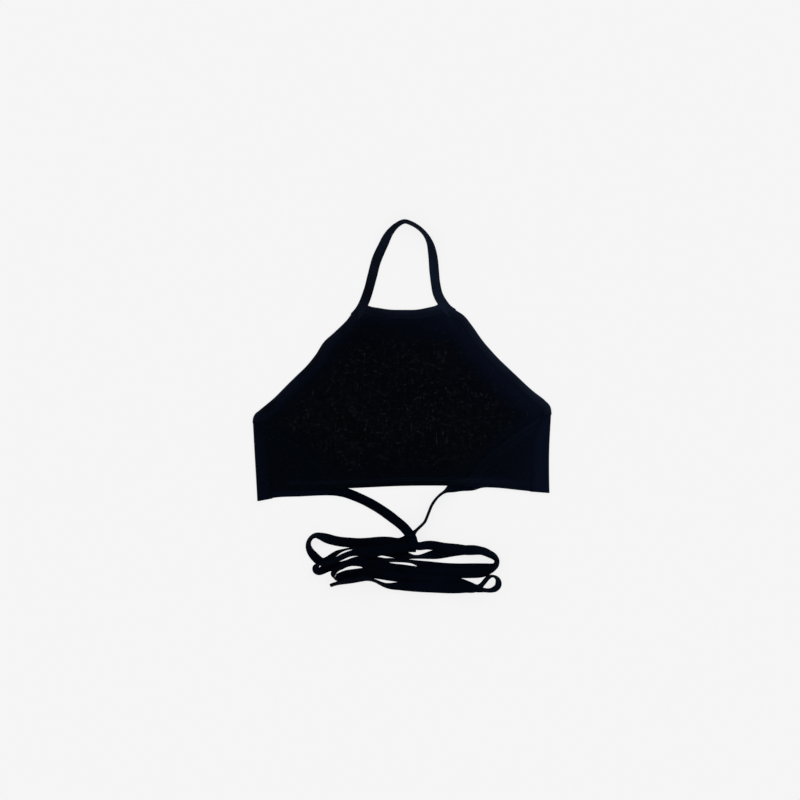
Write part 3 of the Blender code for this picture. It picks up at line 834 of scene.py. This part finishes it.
def front_surface(spots):
    """Height of the front's underside at each spot, creases and unevenness included."""
    rest = rest_height(spots)
    uneven = slow_waves(spots) + crease_heights(FRONT_CREASES, spots)
    bound = np.minimum(
        np.minimum(side_of(ARMHOLES["left"], spots), -side_of(ARMHOLES["right"], spots)) - ARMHOLE_WIDTH,
        side_of(NECK_EDGE, spots) - NECK_BAND_WIDTH)
    tucked = eased(1 - bound / TUCK_RISE)
    free = np.maximum(rest + uneven, 0.05)
    return free + (rest + TUCK_HEIGHT - free) * tucked


def front_thickness(spots):
    """Thickness of the front: one layer, and two along the turned hem."""
    from_hem = -side_of(smooth_line(FRONT_HEM, OUTLINE_STEP), spots)
    return KNIT_THICKNESS + HEM_RISE * eased((HEM_DEPTH - from_hem) / HEM_STEP)


def make_front_panel(settings):
    left, right = side_edge("left"), side_edge("right")
    neck_seam = smooth_line(beside(NECK_EDGE, -(NECK_BAND_WIDTH - TUCK)), OUTLINE_STEP)
    top = np.vstack([left[-1:], neck_seam[1:-1], right[-1:]])
    bottom = spread(smooth_line(FRONT_HEM, OUTLINE_STEP), PANEL_COLUMNS)
    patch = blended_patch(bottom, spread(top, PANEL_COLUMNS), left, right)
    spots = patch.reshape(-1, 2)
    thickness = front_thickness(spots)
    heights = front_surface(spots) + thickness / 2
    grid = np.column_stack([spots, heights]).reshape(PANEL_ROWS, PANEL_COLUMNS, 3)
    colours = (settings.knit_colour, settings.painted_light_and_blotch_colour)
    material = shared_material("fine_knit", knit_material, settings, colours, True)
    shape = (PANEL_ROWS, PANEL_COLUMNS)
    piece = cloth_shell("front_panel_cloth", grid, thickness.reshape(shape), patch, material)
    spots = spots_of(piece)
    note(piece, "single", single_layer(spots))
    # Painted light near the bindings and seams
    note(piece, "edge", edge_light(spots))
    # Painted light and shade along the ridges over the wings' edges
    note(piece, "painted_ridge_light", painted_ridge_shading(spots))
    return piece


def spots_of(piece):
    """Where each point of a piece lies in the tables."""
    points = np.zeros(len(piece.data.vertices) * 3)
    piece.data.vertices.foreach_get("co", points)
    return points.reshape(-1, 3)[:, :2] / MM - TO_CENTRE


def outer_edge(piece, edge, width):
    """How near each point of a binding is to its outer edge, from 0 at its inner one to 1."""
    return np.clip(1 - away_from(edge, spots_of(piece)) / width, 0, 1)


def note(piece, name, values):
    """Stores a value for each point of a piece, for its material to read."""
    attribute = piece.data.attributes.new(name, "FLOAT", "POINT")
    attribute.data.foreach_set("value", values.astype(np.float32))


def single_layer(spots):
    """How far each spot is from the edges of the front's single layer, from 0 to 1."""
    bounds = [(-inward_of(side, spots), "wing") for side in WING_SLANTS]
    bounds += [(away_from(ARMHOLES[side], spots), "armhole") for side in ARMHOLES]
    bounds += [(away_from(NECK_EDGE, spots), "neck"), (away_from(FRONT_HEM, spots), "hem")]
    clear = np.ones(len(spots))
    for away, edge in bounds:
        start, way = SINGLE_STARTS[edge]
        clear *= eased((away - start) / way)
    return clear


def edge_light(spots):
    """How much painted light the front gets near its bindings and seams, most of all on the right, and near
    the hem on the right.
    """
    light = np.zeros(len(spots))
    armholes = {side: away_from(ARMHOLES[side], spots) - ARMHOLE_WIDTH for side in ARMHOLES}
    neck = away_from(NECK_EDGE, spots) - NECK_BAND_WIDTH
    seam = away_from(SIDE_SEAMS["right"], spots)
    for share, away, reach in ((0.95, armholes["right"], 24), (0.72, armholes["left"], 3.5),
                               (0.55, neck, 6), (0.45, seam, 20)):
        light = np.maximum(light, share * np.exp(-np.maximum(away, 0) / reach))
    on_right = eased((spots[:, 0] - 60) / 40)
    near_hem = eased((17 - away_from(FRONT_HEM, spots)) / 8)
    return np.maximum(light, 0.48 * on_right * near_hem)


def painted_ridge_shading(spots):
    """Painted light on the ridges over the wings' edges, the creases and the hem lines, as positive values,
    and painted shade beside the ridges, as negative ones.
    """
    painted_ridge_light = crease_heights(FRONT_CREASES, spots) * 0.5
    for side, first, second in (("left", 0.45, 0.1), ("right", 0.7, 0.45)):
        there = spots[:, 0] < 0 if side == "left" else spots[:, 0] >= 0
        inward = inward_of(side, spots[there])
        line = first * bell(inward - 0.4, 1.2) + second * bell(inward - 6.4, 1.3)
        painted_ridge_light[there] += line - 0.3 * bell(inward + 3.6, 1.7)
    from_hem = -side_of(smooth_line(FRONT_HEM, OUTLINE_STEP), spots)
    return painted_ridge_light + 0.15 * bell(from_hem - HEM_DEPTH, 1.2) + 0.25 * bell(from_hem, 1.6)


def make_wing(side, settings):
    """A triangle of knit: from the side seam on the front, round the side fold and under the front."""
    outward = -1 if side == "left" else 1
    binding = outward * (WING_BINDING_WIDTH + GAP)
    slant = beside(WING_SLANTS[side], binding)[::-1]
    slant[0] = WING_HEMS[side][0]
    ahead = directions(np.array(WING_SLANTS[side], float))[0]
    corner = WING_SLANTS[side][0] - ahead[0] * WING_CORNER
    edge = np.vstack([spread(slant, WING_ROWS - 1), corner])
    folds = spread(smooth_line(SIDE_FOLDS[side], OUTLINE_STEP), WING_ROWS)
    seam = np.vstack([WING_FRONT_HEM[side], SIDE_SEAMS[side][1:], UNDERARMS[side]])
    seam = spread(smooth_line(seam, OUTLINE_STEP), WING_ROWS) + (outward * (GAP - SEAM_LAP), 0)
    half = KNIT_THICKNESS / 2
    radius = FOLD_RADIUS + (CLOTH - KNIT_THICKNESS) / 2
    crown = half + 2 * radius
    hem = smooth_line(WING_HEMS[side], OUTLINE_STEP)
    turns = folds - (outward * (radius + half), 0)
    grid, flat = [], []
    for i in range(WING_ROWS):
        fade = (1 - i / (WING_ROWS - 1)) ** 2
        turn = turns[i]
        shares = np.linspace(0, 1, STRIP_COLUMNS + 1)[:-1, None]
        spots = seam[i] + (turn - seam[i]) * shares
        rest = rest_height(spots) + half + crease_heights(WING_CREASES, spots)
        rest += slow_waves(spots) * 0.5
        lifted = rest + (np.maximum(crown, rest) - rest) * shares[:, 0] ** 2
        row = [(*spot, height) for spot, height in zip(spots, lifted)]
        for angle in np.radians(np.linspace(90, -90, FOLD_COLUMNS)):
            up = (1 + math.sin(angle)) * radius
            row.append((turn[0] + outward * math.cos(angle) * radius, turn[1], half + up))
        for t in np.linspace(0, 1, UNDER_COLUMNS + 1)[1:]:
            x, y = turn + (edge[i] - turn) * t
            hem_x, hem_y = turns[0] + (edge[0] - turns[0]) * t
            rise = np.interp(outward * hem_x, outward * hem[:, 0], hem[:, 1]) - hem_y
            row.append((x, y + rise * fade, half + 0.05))
        grid.append(row)
        flat.append(np.column_stack([run_of(np.array(row)), np.full(len(row), folds[i][1])]))
    colours = (settings.knit_colour, settings.painted_light_and_blotch_colour)
    material = shared_material("back_knit", knit_material, settings, colours, False)
    return cloth_shell(side + "_back_wing_cloth", np.array(grid), KNIT_THICKNESS, np.array(flat), material)


def tie_cells(point, way, ahead, roll, lift):
    """The pile's cells under one step of a tie, each with how far the strip's middle is over the lift."""
    middle = half_height(roll, TIE_WIDTH, TIE)
    cells = {}
    for across in np.linspace(-0.5, 0.5, SPOTS_ACROSS):
        for along in np.linspace(-0.5, 0.5, SPOTS_ALONG):
            for edge in (-0.5, 0.5):
                flat = across * TIE_WIDTH * math.cos(roll) - edge * TIE * math.sin(roll)
                spot = point[:2] + way * flat + ahead * along * TIE_STEP
                height = lift + middle + across * TIE_WIDTH * math.sin(roll)
                cell = tuple(np.floor(spot / PILE_CELL).astype(int))
                half = TIE / 2 * abs(math.cos(roll))
                low, high = cells.get(cell, (math.inf, -math.inf))
                cells[cell] = (min(low, height - half), max(high, height + half))
    return cells


def pile_lifts(lines):
    """Heights of the ties' steps, each stretch resting on those that were laid before it."""
    lifts = [np.zeros(len(line)) for line in lines]
    for _ in range(SETTLING_ROUNDS):
        pile = {}
        for which, line in enumerate(lines):
            ahead, left = directions(line)
            run = run_of(line[:, :2])
            rolls = np.radians(line[:, 2])
            needed = np.zeros(len(line))
            for i, point in enumerate(line):
                cells = tie_cells(point, left[i], ahead[i], rolls[i], 0.0)
                for cell, (low, _) in cells.items():
                    for top, tie, at in pile.get(cell, ()):
                        if tie != which or run[i] - at > TIE_CLEAR:
                            needed[i] = max(needed[i], top + TIE_GAP - low)
                lift = max(needed[i], lifts[which][i])
                for cell, (_, high) in cells.items():
                    pile.setdefault(cell, []).append((high + lift, which, run[i]))
            apart = np.abs(run[:, None] - run[None, :])
            climb = needed[None, :] - TIE_SLOPE * np.maximum(apart - TIE_STEP, 0)
            lifts[which] = climb.max(axis=1)
    return lifts


def new_stitch_tree(material):
    """Stitches along a curve: small rounded threads at an even pitch, each a little different."""
    tree = bpy.data.node_groups.new("stitch_row", "GeometryNodeTree")
    tree.interface.new_socket("Geometry", in_out="INPUT", socket_type="NodeSocketGeometry")
    tree.interface.new_socket("Pitch", in_out="INPUT", socket_type="NodeSocketFloat")
    tree.interface.new_socket("Length", in_out="INPUT", socket_type="NodeSocketFloat")
    tree.interface.new_socket("Thread", in_out="INPUT", socket_type="NodeSocketFloat")
    tree.interface.new_socket("Seed", in_out="INPUT", socket_type="NodeSocketInt")
    tree.interface.new_socket("Geometry", in_out="OUTPUT", socket_type="NodeSocketGeometry")
    start = Wire(tree).make("NodeGroupInput")
    entry = {socket.name: Wire(tree, socket) for socket in start.socket.node.outputs if socket.name}
    row = start.make("GeometryNodeResampleCurve", {"mode": "LENGTH"},
                     {"Curve": entry["Geometry"], "Length": entry["Pitch"]})
    ball = start.make("GeometryNodeMeshUVSphere", values={"Segments": 8, "Rings": 6, "Radius": 1.0})
    size = start.make("ShaderNodeCombineXYZ", values={0: entry["Length"] * 0.5, 1: entry["Thread"],
                                                      2: entry["Thread"]})
    thread = start.make("GeometryNodeTransform", values={"Geometry": ball, "Scale": size})
    ahead = start.make("GeometryNodeInputTangent")
    turn = start.make("FunctionNodeAlignRotationToVector", {"axis": "X"}, {"Vector": ahead})
    vary = start.make("FunctionNodeRandomValue", {"data_type": "FLOAT_VECTOR"},
                      {0: (0.9, 0.85, 0.85), 1: (1.08, 1.15, 1.15), "Seed": entry["Seed"]})
    rows = start.make("GeometryNodeInstanceOnPoints",
                      values={"Points": row, "Instance": thread, "Rotation": turn, "Scale": vary})
    real = start.make("GeometryNodeRealizeInstances", values={"Geometry": rows})
    smooth = start.make("GeometryNodeSetShadeSmooth", values={"Geometry": real})
    done = start.make("GeometryNodeSetMaterial", values={"Geometry": smooth, "Material": material})
    end = tree.nodes.new("NodeGroupOutput")
    tree.links.new(done.socket, end.inputs[0])
    return tree


def stitch_rows(name, paths, settings):
    """One piece with a row of stitches along each path of table points."""
    material = shared_material("sewing_thread", thread_material, bpy.context.scene.halter_cloth)
    curve = bpy.data.curves.new(name + "_path", "CURVE")
    curve.dimensions = "3D"
    for path in paths:
        spline = curve.splines.new("POLY")
        places = world(path)
        spline.points.add(len(places) - 1)
        for point, place in zip(spline.points, places):
            point.co = (*place, 1)
    guide = bpy.data.objects.new(name + "_path", curve)
    bpy.context.scene.collection.objects.link(guide)
    tree = bpy.data.node_groups.get("stitch_row") or new_stitch_tree(material)
    modifier = guide.modifiers.new("stitches", "NODES")
    modifier.node_group = tree
    wanted = {"Pitch": settings.pitch, "Length": settings.length, "Thread": settings.thread, "Seed": 7}
    for item in tree.interface.items_tree:
        if item.in_out == "INPUT" and item.name in wanted:
            modifier[item.identifier] = wanted[item.name]
    shown = guide.evaluated_get(bpy.context.evaluated_depsgraph_get())
    mesh = bpy.data.meshes.new_from_object(shown)
    mesh.name = name
    bpy.data.objects.remove(guide, do_unlink=True)
    piece = bpy.data.objects.new(name, mesh)
    bpy.context.scene.collection.objects.link(piece)
    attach(piece, "root")
    return piece


def on_front(rows, above):
    """A path over the front's upper face."""
    spots = smooth_line(rows, OUTLINE_STEP)[:, :2]
    heights = front_surface(spots) + front_thickness(spots) + above
    return np.column_stack([spots, heights])


def on_strip(line, width, off, above):
    """A path on a flat strip, this far to the left of its middle."""
    middle, across, out = strip_frames(line, width, BINDING)
    return middle + across * off + out * (STRIP_THICKNESS / 2 + above)


def make_floor(settings):
    """A large pale floor that is lit a little from inside, as under soft studio light."""
    material, nodes, shader = new_material("pale_floor")
    cloud = nodes.noise(nodes.make("ShaderNodeTexCoord", output=3), 1.4).between(0.3, 0.7)
    light = [share * 1.004 for share in settings.floor_colour]
    cloud.mix(opaque(settings.floor_colour), opaque(light)).link(shader.inputs["Base Color"])
    shader.inputs["Roughness"].default_value = 0.9
    shader.inputs["Specular IOR Level"].default_value = 0.0
    shader.inputs["Emission Color"].default_value = (1, 1, 1, 1)
    shader.inputs["Emission Strength"].default_value = settings.floor_glow
    mesh = bpy.data.meshes.new("floor")
    corners = [(x * FLOOR_REACH, y * FLOOR_REACH, 0) for x, y in ((-1, -1), (1, -1), (1, 1), (-1, 1))]
    mesh.from_pydata(corners, [], [(0, 1, 2, 3)])
    mesh.materials.append(material)
    floor = bpy.data.objects.new("floor", mesh)
    bpy.context.scene.collection.objects.link(floor)
    return floor


def make_light(settings):
    """Even light from all round, and a soft key light from the upper right."""
    studio = bpy.data.worlds.new("studio")
    studio.use_nodes = True
    background = studio.node_tree.nodes["Background"]
    background.inputs["Color"].default_value = (1, 1, 1, 1)
    background.inputs["Strength"].default_value = settings.sky
    bpy.context.scene.world = studio
    lamp = bpy.data.lights.new("key", "SUN")
    lamp.energy = settings.key
    lamp.angle = math.radians(KEY_SPREAD)
    key = bpy.data.objects.new("key", lamp)
    key.rotation_euler = [math.radians(turn) for turn in KEY_TILT]
    bpy.context.scene.collection.objects.link(key)


def make_camera(settings):
    """A camera that looks straight down from far above."""
    camera = bpy.data.cameras.new("camera")
    camera.lens = settings.lens
    camera.sensor_width = 36
    camera.clip_end = 20
    eye = bpy.data.objects.new("camera", camera)
    across, up = np.add(PICTURE_MIDDLE, TO_CENTRE) * MM
    eye.location = (across, up, PICTURE_SIDE * MM * settings.lens / camera.sensor_width)
    bpy.context.scene.collection.objects.link(eye)
    bpy.context.scene.camera = eye


def colour_choice(name, description, colour):
    """A colour that the sidebar shows."""
    return FloatVectorProperty(name=name, description=description, subtype="COLOR", size=3, min=0, max=1,
                               default=colour)


def length_choice(name, description, low, high, usual):
    """A length in metres that the sidebar shows."""
    return FloatProperty(name=name, description=description, unit="LENGTH", min=low, max=high,
                         default=usual)


def number_choice(name, description, low, high, usual):
    """A plain number that the sidebar shows."""
    return FloatProperty(name=name, description=description, min=low, max=high, default=usual)


class ClothSettings(bpy.types.PropertyGroup):
    """Colours and sizes of the knit."""

    knit_colour: colour_choice(
        "Knit colour", "Colour of the panels in the shade of their stitches", (0.0007, 0.0017, 0.0034))
    # Painted light towards the right, mixed with random blotches
    painted_light_and_blotch_colour: colour_choice(
        "Light knit colour", "Colour of the panels where they are lighter", (0.0013, 0.0027, 0.0056))
    strip_colour: colour_choice(
        "Strip colour", "Colour of the bindings, strap and ties", (0.0030, 0.0042, 0.0080))
    # Painted light towards the right, mixed with random blotches
    strip_light: colour_choice(
        "Light strip colour", "Colour of the strips where they are lighter", (0.0080, 0.0128, 0.0275))
    band_shade: number_choice(
        "Neck band shade", "How light the neck band is, as a share of the other strips", 0, 2, 0.95)
    # Painted light near the bindings, seams and side folds
    painted_edge_light_colour: colour_choice(
        "Edge colour", "Colour of the panels near the bindings and side folds", (0.0034, 0.0056, 0.0158))
    tie_colour: colour_choice("Tie colour", "Colour of the ties", (0.0005, 0.0015, 0.0040))
    # Painted light towards the right, mixed with random blotches
    tie_light: colour_choice(
        "Light tie colour", "Colour of the ties where they are lighter", (0.0010, 0.0026, 0.0068))
    glint_colour: colour_choice(
        "Glint colour", "Colour of single stitches that catch the light", (0.040, 0.043, 0.053))
    glint_scale: number_choice("Glints", "How close together the glinting stitches are", 10, 5000, 660)
    glint_share: number_choice(
        "Strong glints", "Share of the places that glint strongly", 0.001, 1, 0.0115)
    # Painted light and shade along the ridges over the wings' edges
    painted_ridge_light: number_choice(
        "Painted ridge light", "How strongly light and shade are painted along the ridges over the wings' edges", 0, 3, 0.9)
    sheen_colour: colour_choice(
        "Sheen colour", "Colour of the nap against the light", (0.30, 0.42, 0.70))
    sheen: number_choice("Sheen", "Strength of the nap against the light", 0, 1, 0.015)
    gloss: number_choice("Gloss", "Strength of the cloth's reflections", 0, 1, 0.004)
    stitch_width: length_choice(
        "Stitch width", "Distance between two columns of knit stitches", 0.0003, 0.01, 0.0015)
    stitch_height: length_choice(
        "Stitch height", "Distance between two rows of knit stitches", 0.0003, 0.01, 0.0011)
    hole_spacing: length_choice(
        "Pinhole spacing", "Distance between places where a pinhole may be", 0.0005, 0.02, 0.0027)
    hole_size: number_choice(
        "Pinhole size", "Size of the largest pinholes, as a share of their spacing", 0, 1, 0.028)
    hole_share: number_choice("Pinhole share", "Share of the places that have a pinhole", 0, 1, 0.4)


class StitchSettings(bpy.types.PropertyGroup):
    """Sizes of the sewing."""

    pitch: length_choice("Pitch", "Distance from one stitch to the next", 0.0005, 0.02, 0.0028)
    length: length_choice("Stitch length", "Length of each stitch", 0.0005, 0.02, 0.0024)
    thread: length_choice("Thread radius", "Half the thickness of the thread", 0.00005, 0.002, 0.00024)


class StageSettings(bpy.types.PropertyGroup):
    """Floor, light and camera."""

    floor_colour: colour_choice("Floor colour", "Colour of the pale floor", (0.0800, 0.0798, 0.0800))
    floor_glow: number_choice(
        "Floor glow", "Light of the lit table itself, which softens the shadows", 0, 2, 0.822)
    sky: FloatProperty(
        name="Soft light", description="Strength of the light from all round", min=0, default=0.98)
    key: FloatProperty(
        name="Key light", description="Strength of the soft light from the upper right",
        min=0, default=0.93)
    lens: FloatProperty(
        name="Lens", description="Focal length of the camera", subtype="DISTANCE_CAMERA",
        min=10, max=500, default=250)


class HALTER_OT_neck(bpy.types.Operator):
    """Make the ribbed neck band and the strap that goes round the neck"""

    bl_idname = "halter.neck"
    bl_label = "Neck band and strap"

    def execute(self, context):
        settings = context.scene.halter_cloth
        colours = (settings.strip_colour, settings.strip_light)
        material = shared_material("doubled_knit", strip_material, settings, colours)
        darker = [[share * settings.band_shade for share in colour] for colour in colours]
        ribbed = shared_material("ribbed_knit", strip_material, settings, darker, True, RIB_SHADE)
        band = cloth_strip("neck_band_cloth", neck_band_line(), NECK_BAND_WIDTH + FULLNESS, STRIP_THICKNESS,
                           BINDING, ribbed, sewn=(1, 1), ribs=RIB_SWELL)
        note(band, "outer", outer_edge(band, NECK_EDGE, NECK_BAND_WIDTH))
        wear(band, "neck_band")
        strap_line = strip_line([STRAP_ROOTS[0], *NECK_STRAP, STRAP_ROOTS[1]], 0)
        strap = cloth_strip("neck_strap_cloth", strap_line, STRAP_WIDTH, STRIP_THICKNESS, BINDING, material,
                            sewn=(1, 1))
        wear(strap, "neck_strap")
        return {"FINISHED"}


class HALTER_OT_bindings(bpy.types.Operator):
    """Make the bindings of the armholes and of the back wings"""

    bl_idname = "halter.bindings"
    bl_label = "Bindings"

    def execute(self, context):
        settings = context.scene.halter_cloth
        colours = (settings.strip_colour, settings.strip_light)
        material = shared_material("doubled_knit", strip_material, settings, colours)
        bound = shared_material("bound_knit", strip_material, settings, colours, True)
        for side, inward in (("left", -1), ("right", 1)):
            edge = [ARMHOLE_ROOTS[side], *ARMHOLES[side]]
            line = strip_line(beside(edge, inward * ARMHOLE_WIDTH / 2))
            armhole = cloth_strip(side + "_armhole_binding_cloth", line, ARMHOLE_WIDTH + FULLNESS,
                                  STRIP_THICKNESS, BINDING, bound, sewn=(1, 0))
            note(armhole, "outer", outer_edge(armhole, ARMHOLES[side], ARMHOLE_WIDTH))
            wear(armhole, side + "_armhole_binding")
            line = strip_line(beside(WING_SLANTS[side], inward * WING_BINDING_WIDTH / 2), 0)
            wing = cloth_strip(side + "_wing_binding_cloth", line, WING_BINDING_WIDTH + FULLNESS,
                               STRIP_THICKNESS, BINDING, material)
            wear(wing, side + "_wing_binding")
        return {"FINISHED"}


class HALTER_OT_sewing(bpy.types.Operator):
    """Make the rows of stitches along the hem, the neck band and the armholes"""

    bl_idname = "halter.sewing"
    bl_label = "Sewing"

    def execute(self, context):
        settings = context.scene.halter_stitches
        hem = [on_front([(x, y + depth) for x, y in FRONT_HEM[1:-1]], 0.05)
               for depth in (HEM_DEPTH - 1.0, HEM_DEPTH - 3.4)]
        stitch_rows("hem_stitches", hem, settings)
        rows = [on_strip(neck_band_line(), NECK_BAND_WIDTH, -NECK_BAND_WIDTH / 2 + 1.6, 0.02)]
        for side, inward in (("left", -1), ("right", 1)):
            line = strip_line(beside(ARMHOLES[side], inward * ARMHOLE_WIDTH / 2))
            rows.append(on_strip(line, ARMHOLE_WIDTH, inward * (ARMHOLE_WIDTH / 2 - 1.6), 0.02))
        stitch_rows("binding_stitches", rows, settings)
        return {"FINISHED"}


class HALTER_OT_front(bpy.types.Operator):
    """Make the front panel, laid over the wings, with its turned hem and pinholes"""

    bl_idname = "halter.front"
    bl_label = "Front panel"

    def execute(self, context):
        piece = make_front_panel(context.scene.halter_cloth)
        wear(piece, "front_panel")
        return {"FINISHED"}


class HALTER_OT_wings(bpy.types.Operator):
    """Make the two back wings, folded round the sides and under the front"""

    bl_idname = "halter.wings"
    bl_label = "Back wings"

    def execute(self, context):
        for side in ("left", "right"):
            piece = make_wing(side, context.scene.halter_cloth)
            wear(piece, side + "_back_wing")
        return {"FINISHED"}


class HALTER_OT_ties(bpy.types.Operator):
    """Make the two long ties, folded to and fro in a loose pile"""

    bl_idname = "halter.ties"
    bl_label = "Ties"

    def execute(self, context):
        settings = context.scene.halter_cloth
        colours = (settings.tie_colour, settings.tie_light)
        material = shared_material("tie_knit", strip_material, settings, colours)
        lines = [smooth_line(TIES[side], TIE_STEP) for side in TIES]
        for side, line, lifts in zip(TIES, lines, pile_lifts(lines)):
            laid = np.vstack([(*TIE_ROOTS[side], 0), np.column_stack([line, lifts])])
            fine = smooth_line(laid, STRIP_STEP)
            tie = cloth_strip(side + "_tie_cloth", fine, TIE_WIDTH, TIE_THICKNESS, TIE, material,
                              sewn=(1, 0))
            wear(tie, side + "_tie")
        return {"FINISHED"}


class HALTER_OT_stage(bpy.types.Operator):
    """Make the pale floor, the soft light and the camera straight above"""

    bl_idname = "halter.stage"
    bl_label = "Stage"

    def execute(self, context):
        settings = context.scene.halter_stage
        context.scene.view_settings.view_transform = "Standard"
        make_floor(settings)
        make_light(settings)
        make_camera(settings)
        return {"FINISHED"}


class HALTER_PT_sidebar(bpy.types.Panel):
    """The pieces of the halter top, in the order in which they are made"""

    bl_label = "Halter top"
    bl_space_type = "VIEW_3D"
    bl_region_type = "UI"
    bl_category = "Halter top"

    def draw(self, context):
        for operator in OPERATORS:
            self.layout.operator(operator.bl_idname)
        for settings in (context.scene.halter_cloth, context.scene.halter_stitches,
                         context.scene.halter_stage):
            box = self.layout.box()
            for name in settings.bl_rna.properties.keys():
                if name not in ("rna_type", "name"):
                    box.prop(settings, name)


OPERATORS = (
    HALTER_OT_stage,
    HALTER_OT_neck,
    HALTER_OT_bindings,
    HALTER_OT_sewing,
    HALTER_OT_front,
    HALTER_OT_wings,
    HALTER_OT_ties,
)
GROUPS = {"halter_cloth": ClothSettings, "halter_stitches": StitchSettings, "halter_stage": StageSettings}


def register():
    for name, group in GROUPS.items():
        bpy.utils.register_class(group)
        setattr(bpy.types.Scene, name, PointerProperty(type=group))
    for operator in OPERATORS:
        bpy.utils.register_class(operator)
    bpy.utils.register_class(HALTER_PT_sidebar)


def unregister():
    bpy.utils.unregister_class(HALTER_PT_sidebar)
    for operator in reversed(OPERATORS):
        bpy.utils.unregister_class(operator)
    for name, group in GROUPS.items():
        delattr(bpy.types.Scene, name)
        bpy.utils.unregister_class(group)


def main():
    register()
    for operator in OPERATORS:
        area, name = operator.bl_idname.split(".")
        getattr(getattr(bpy.ops, area), name)()


if __name__ == "__main__":
    main()
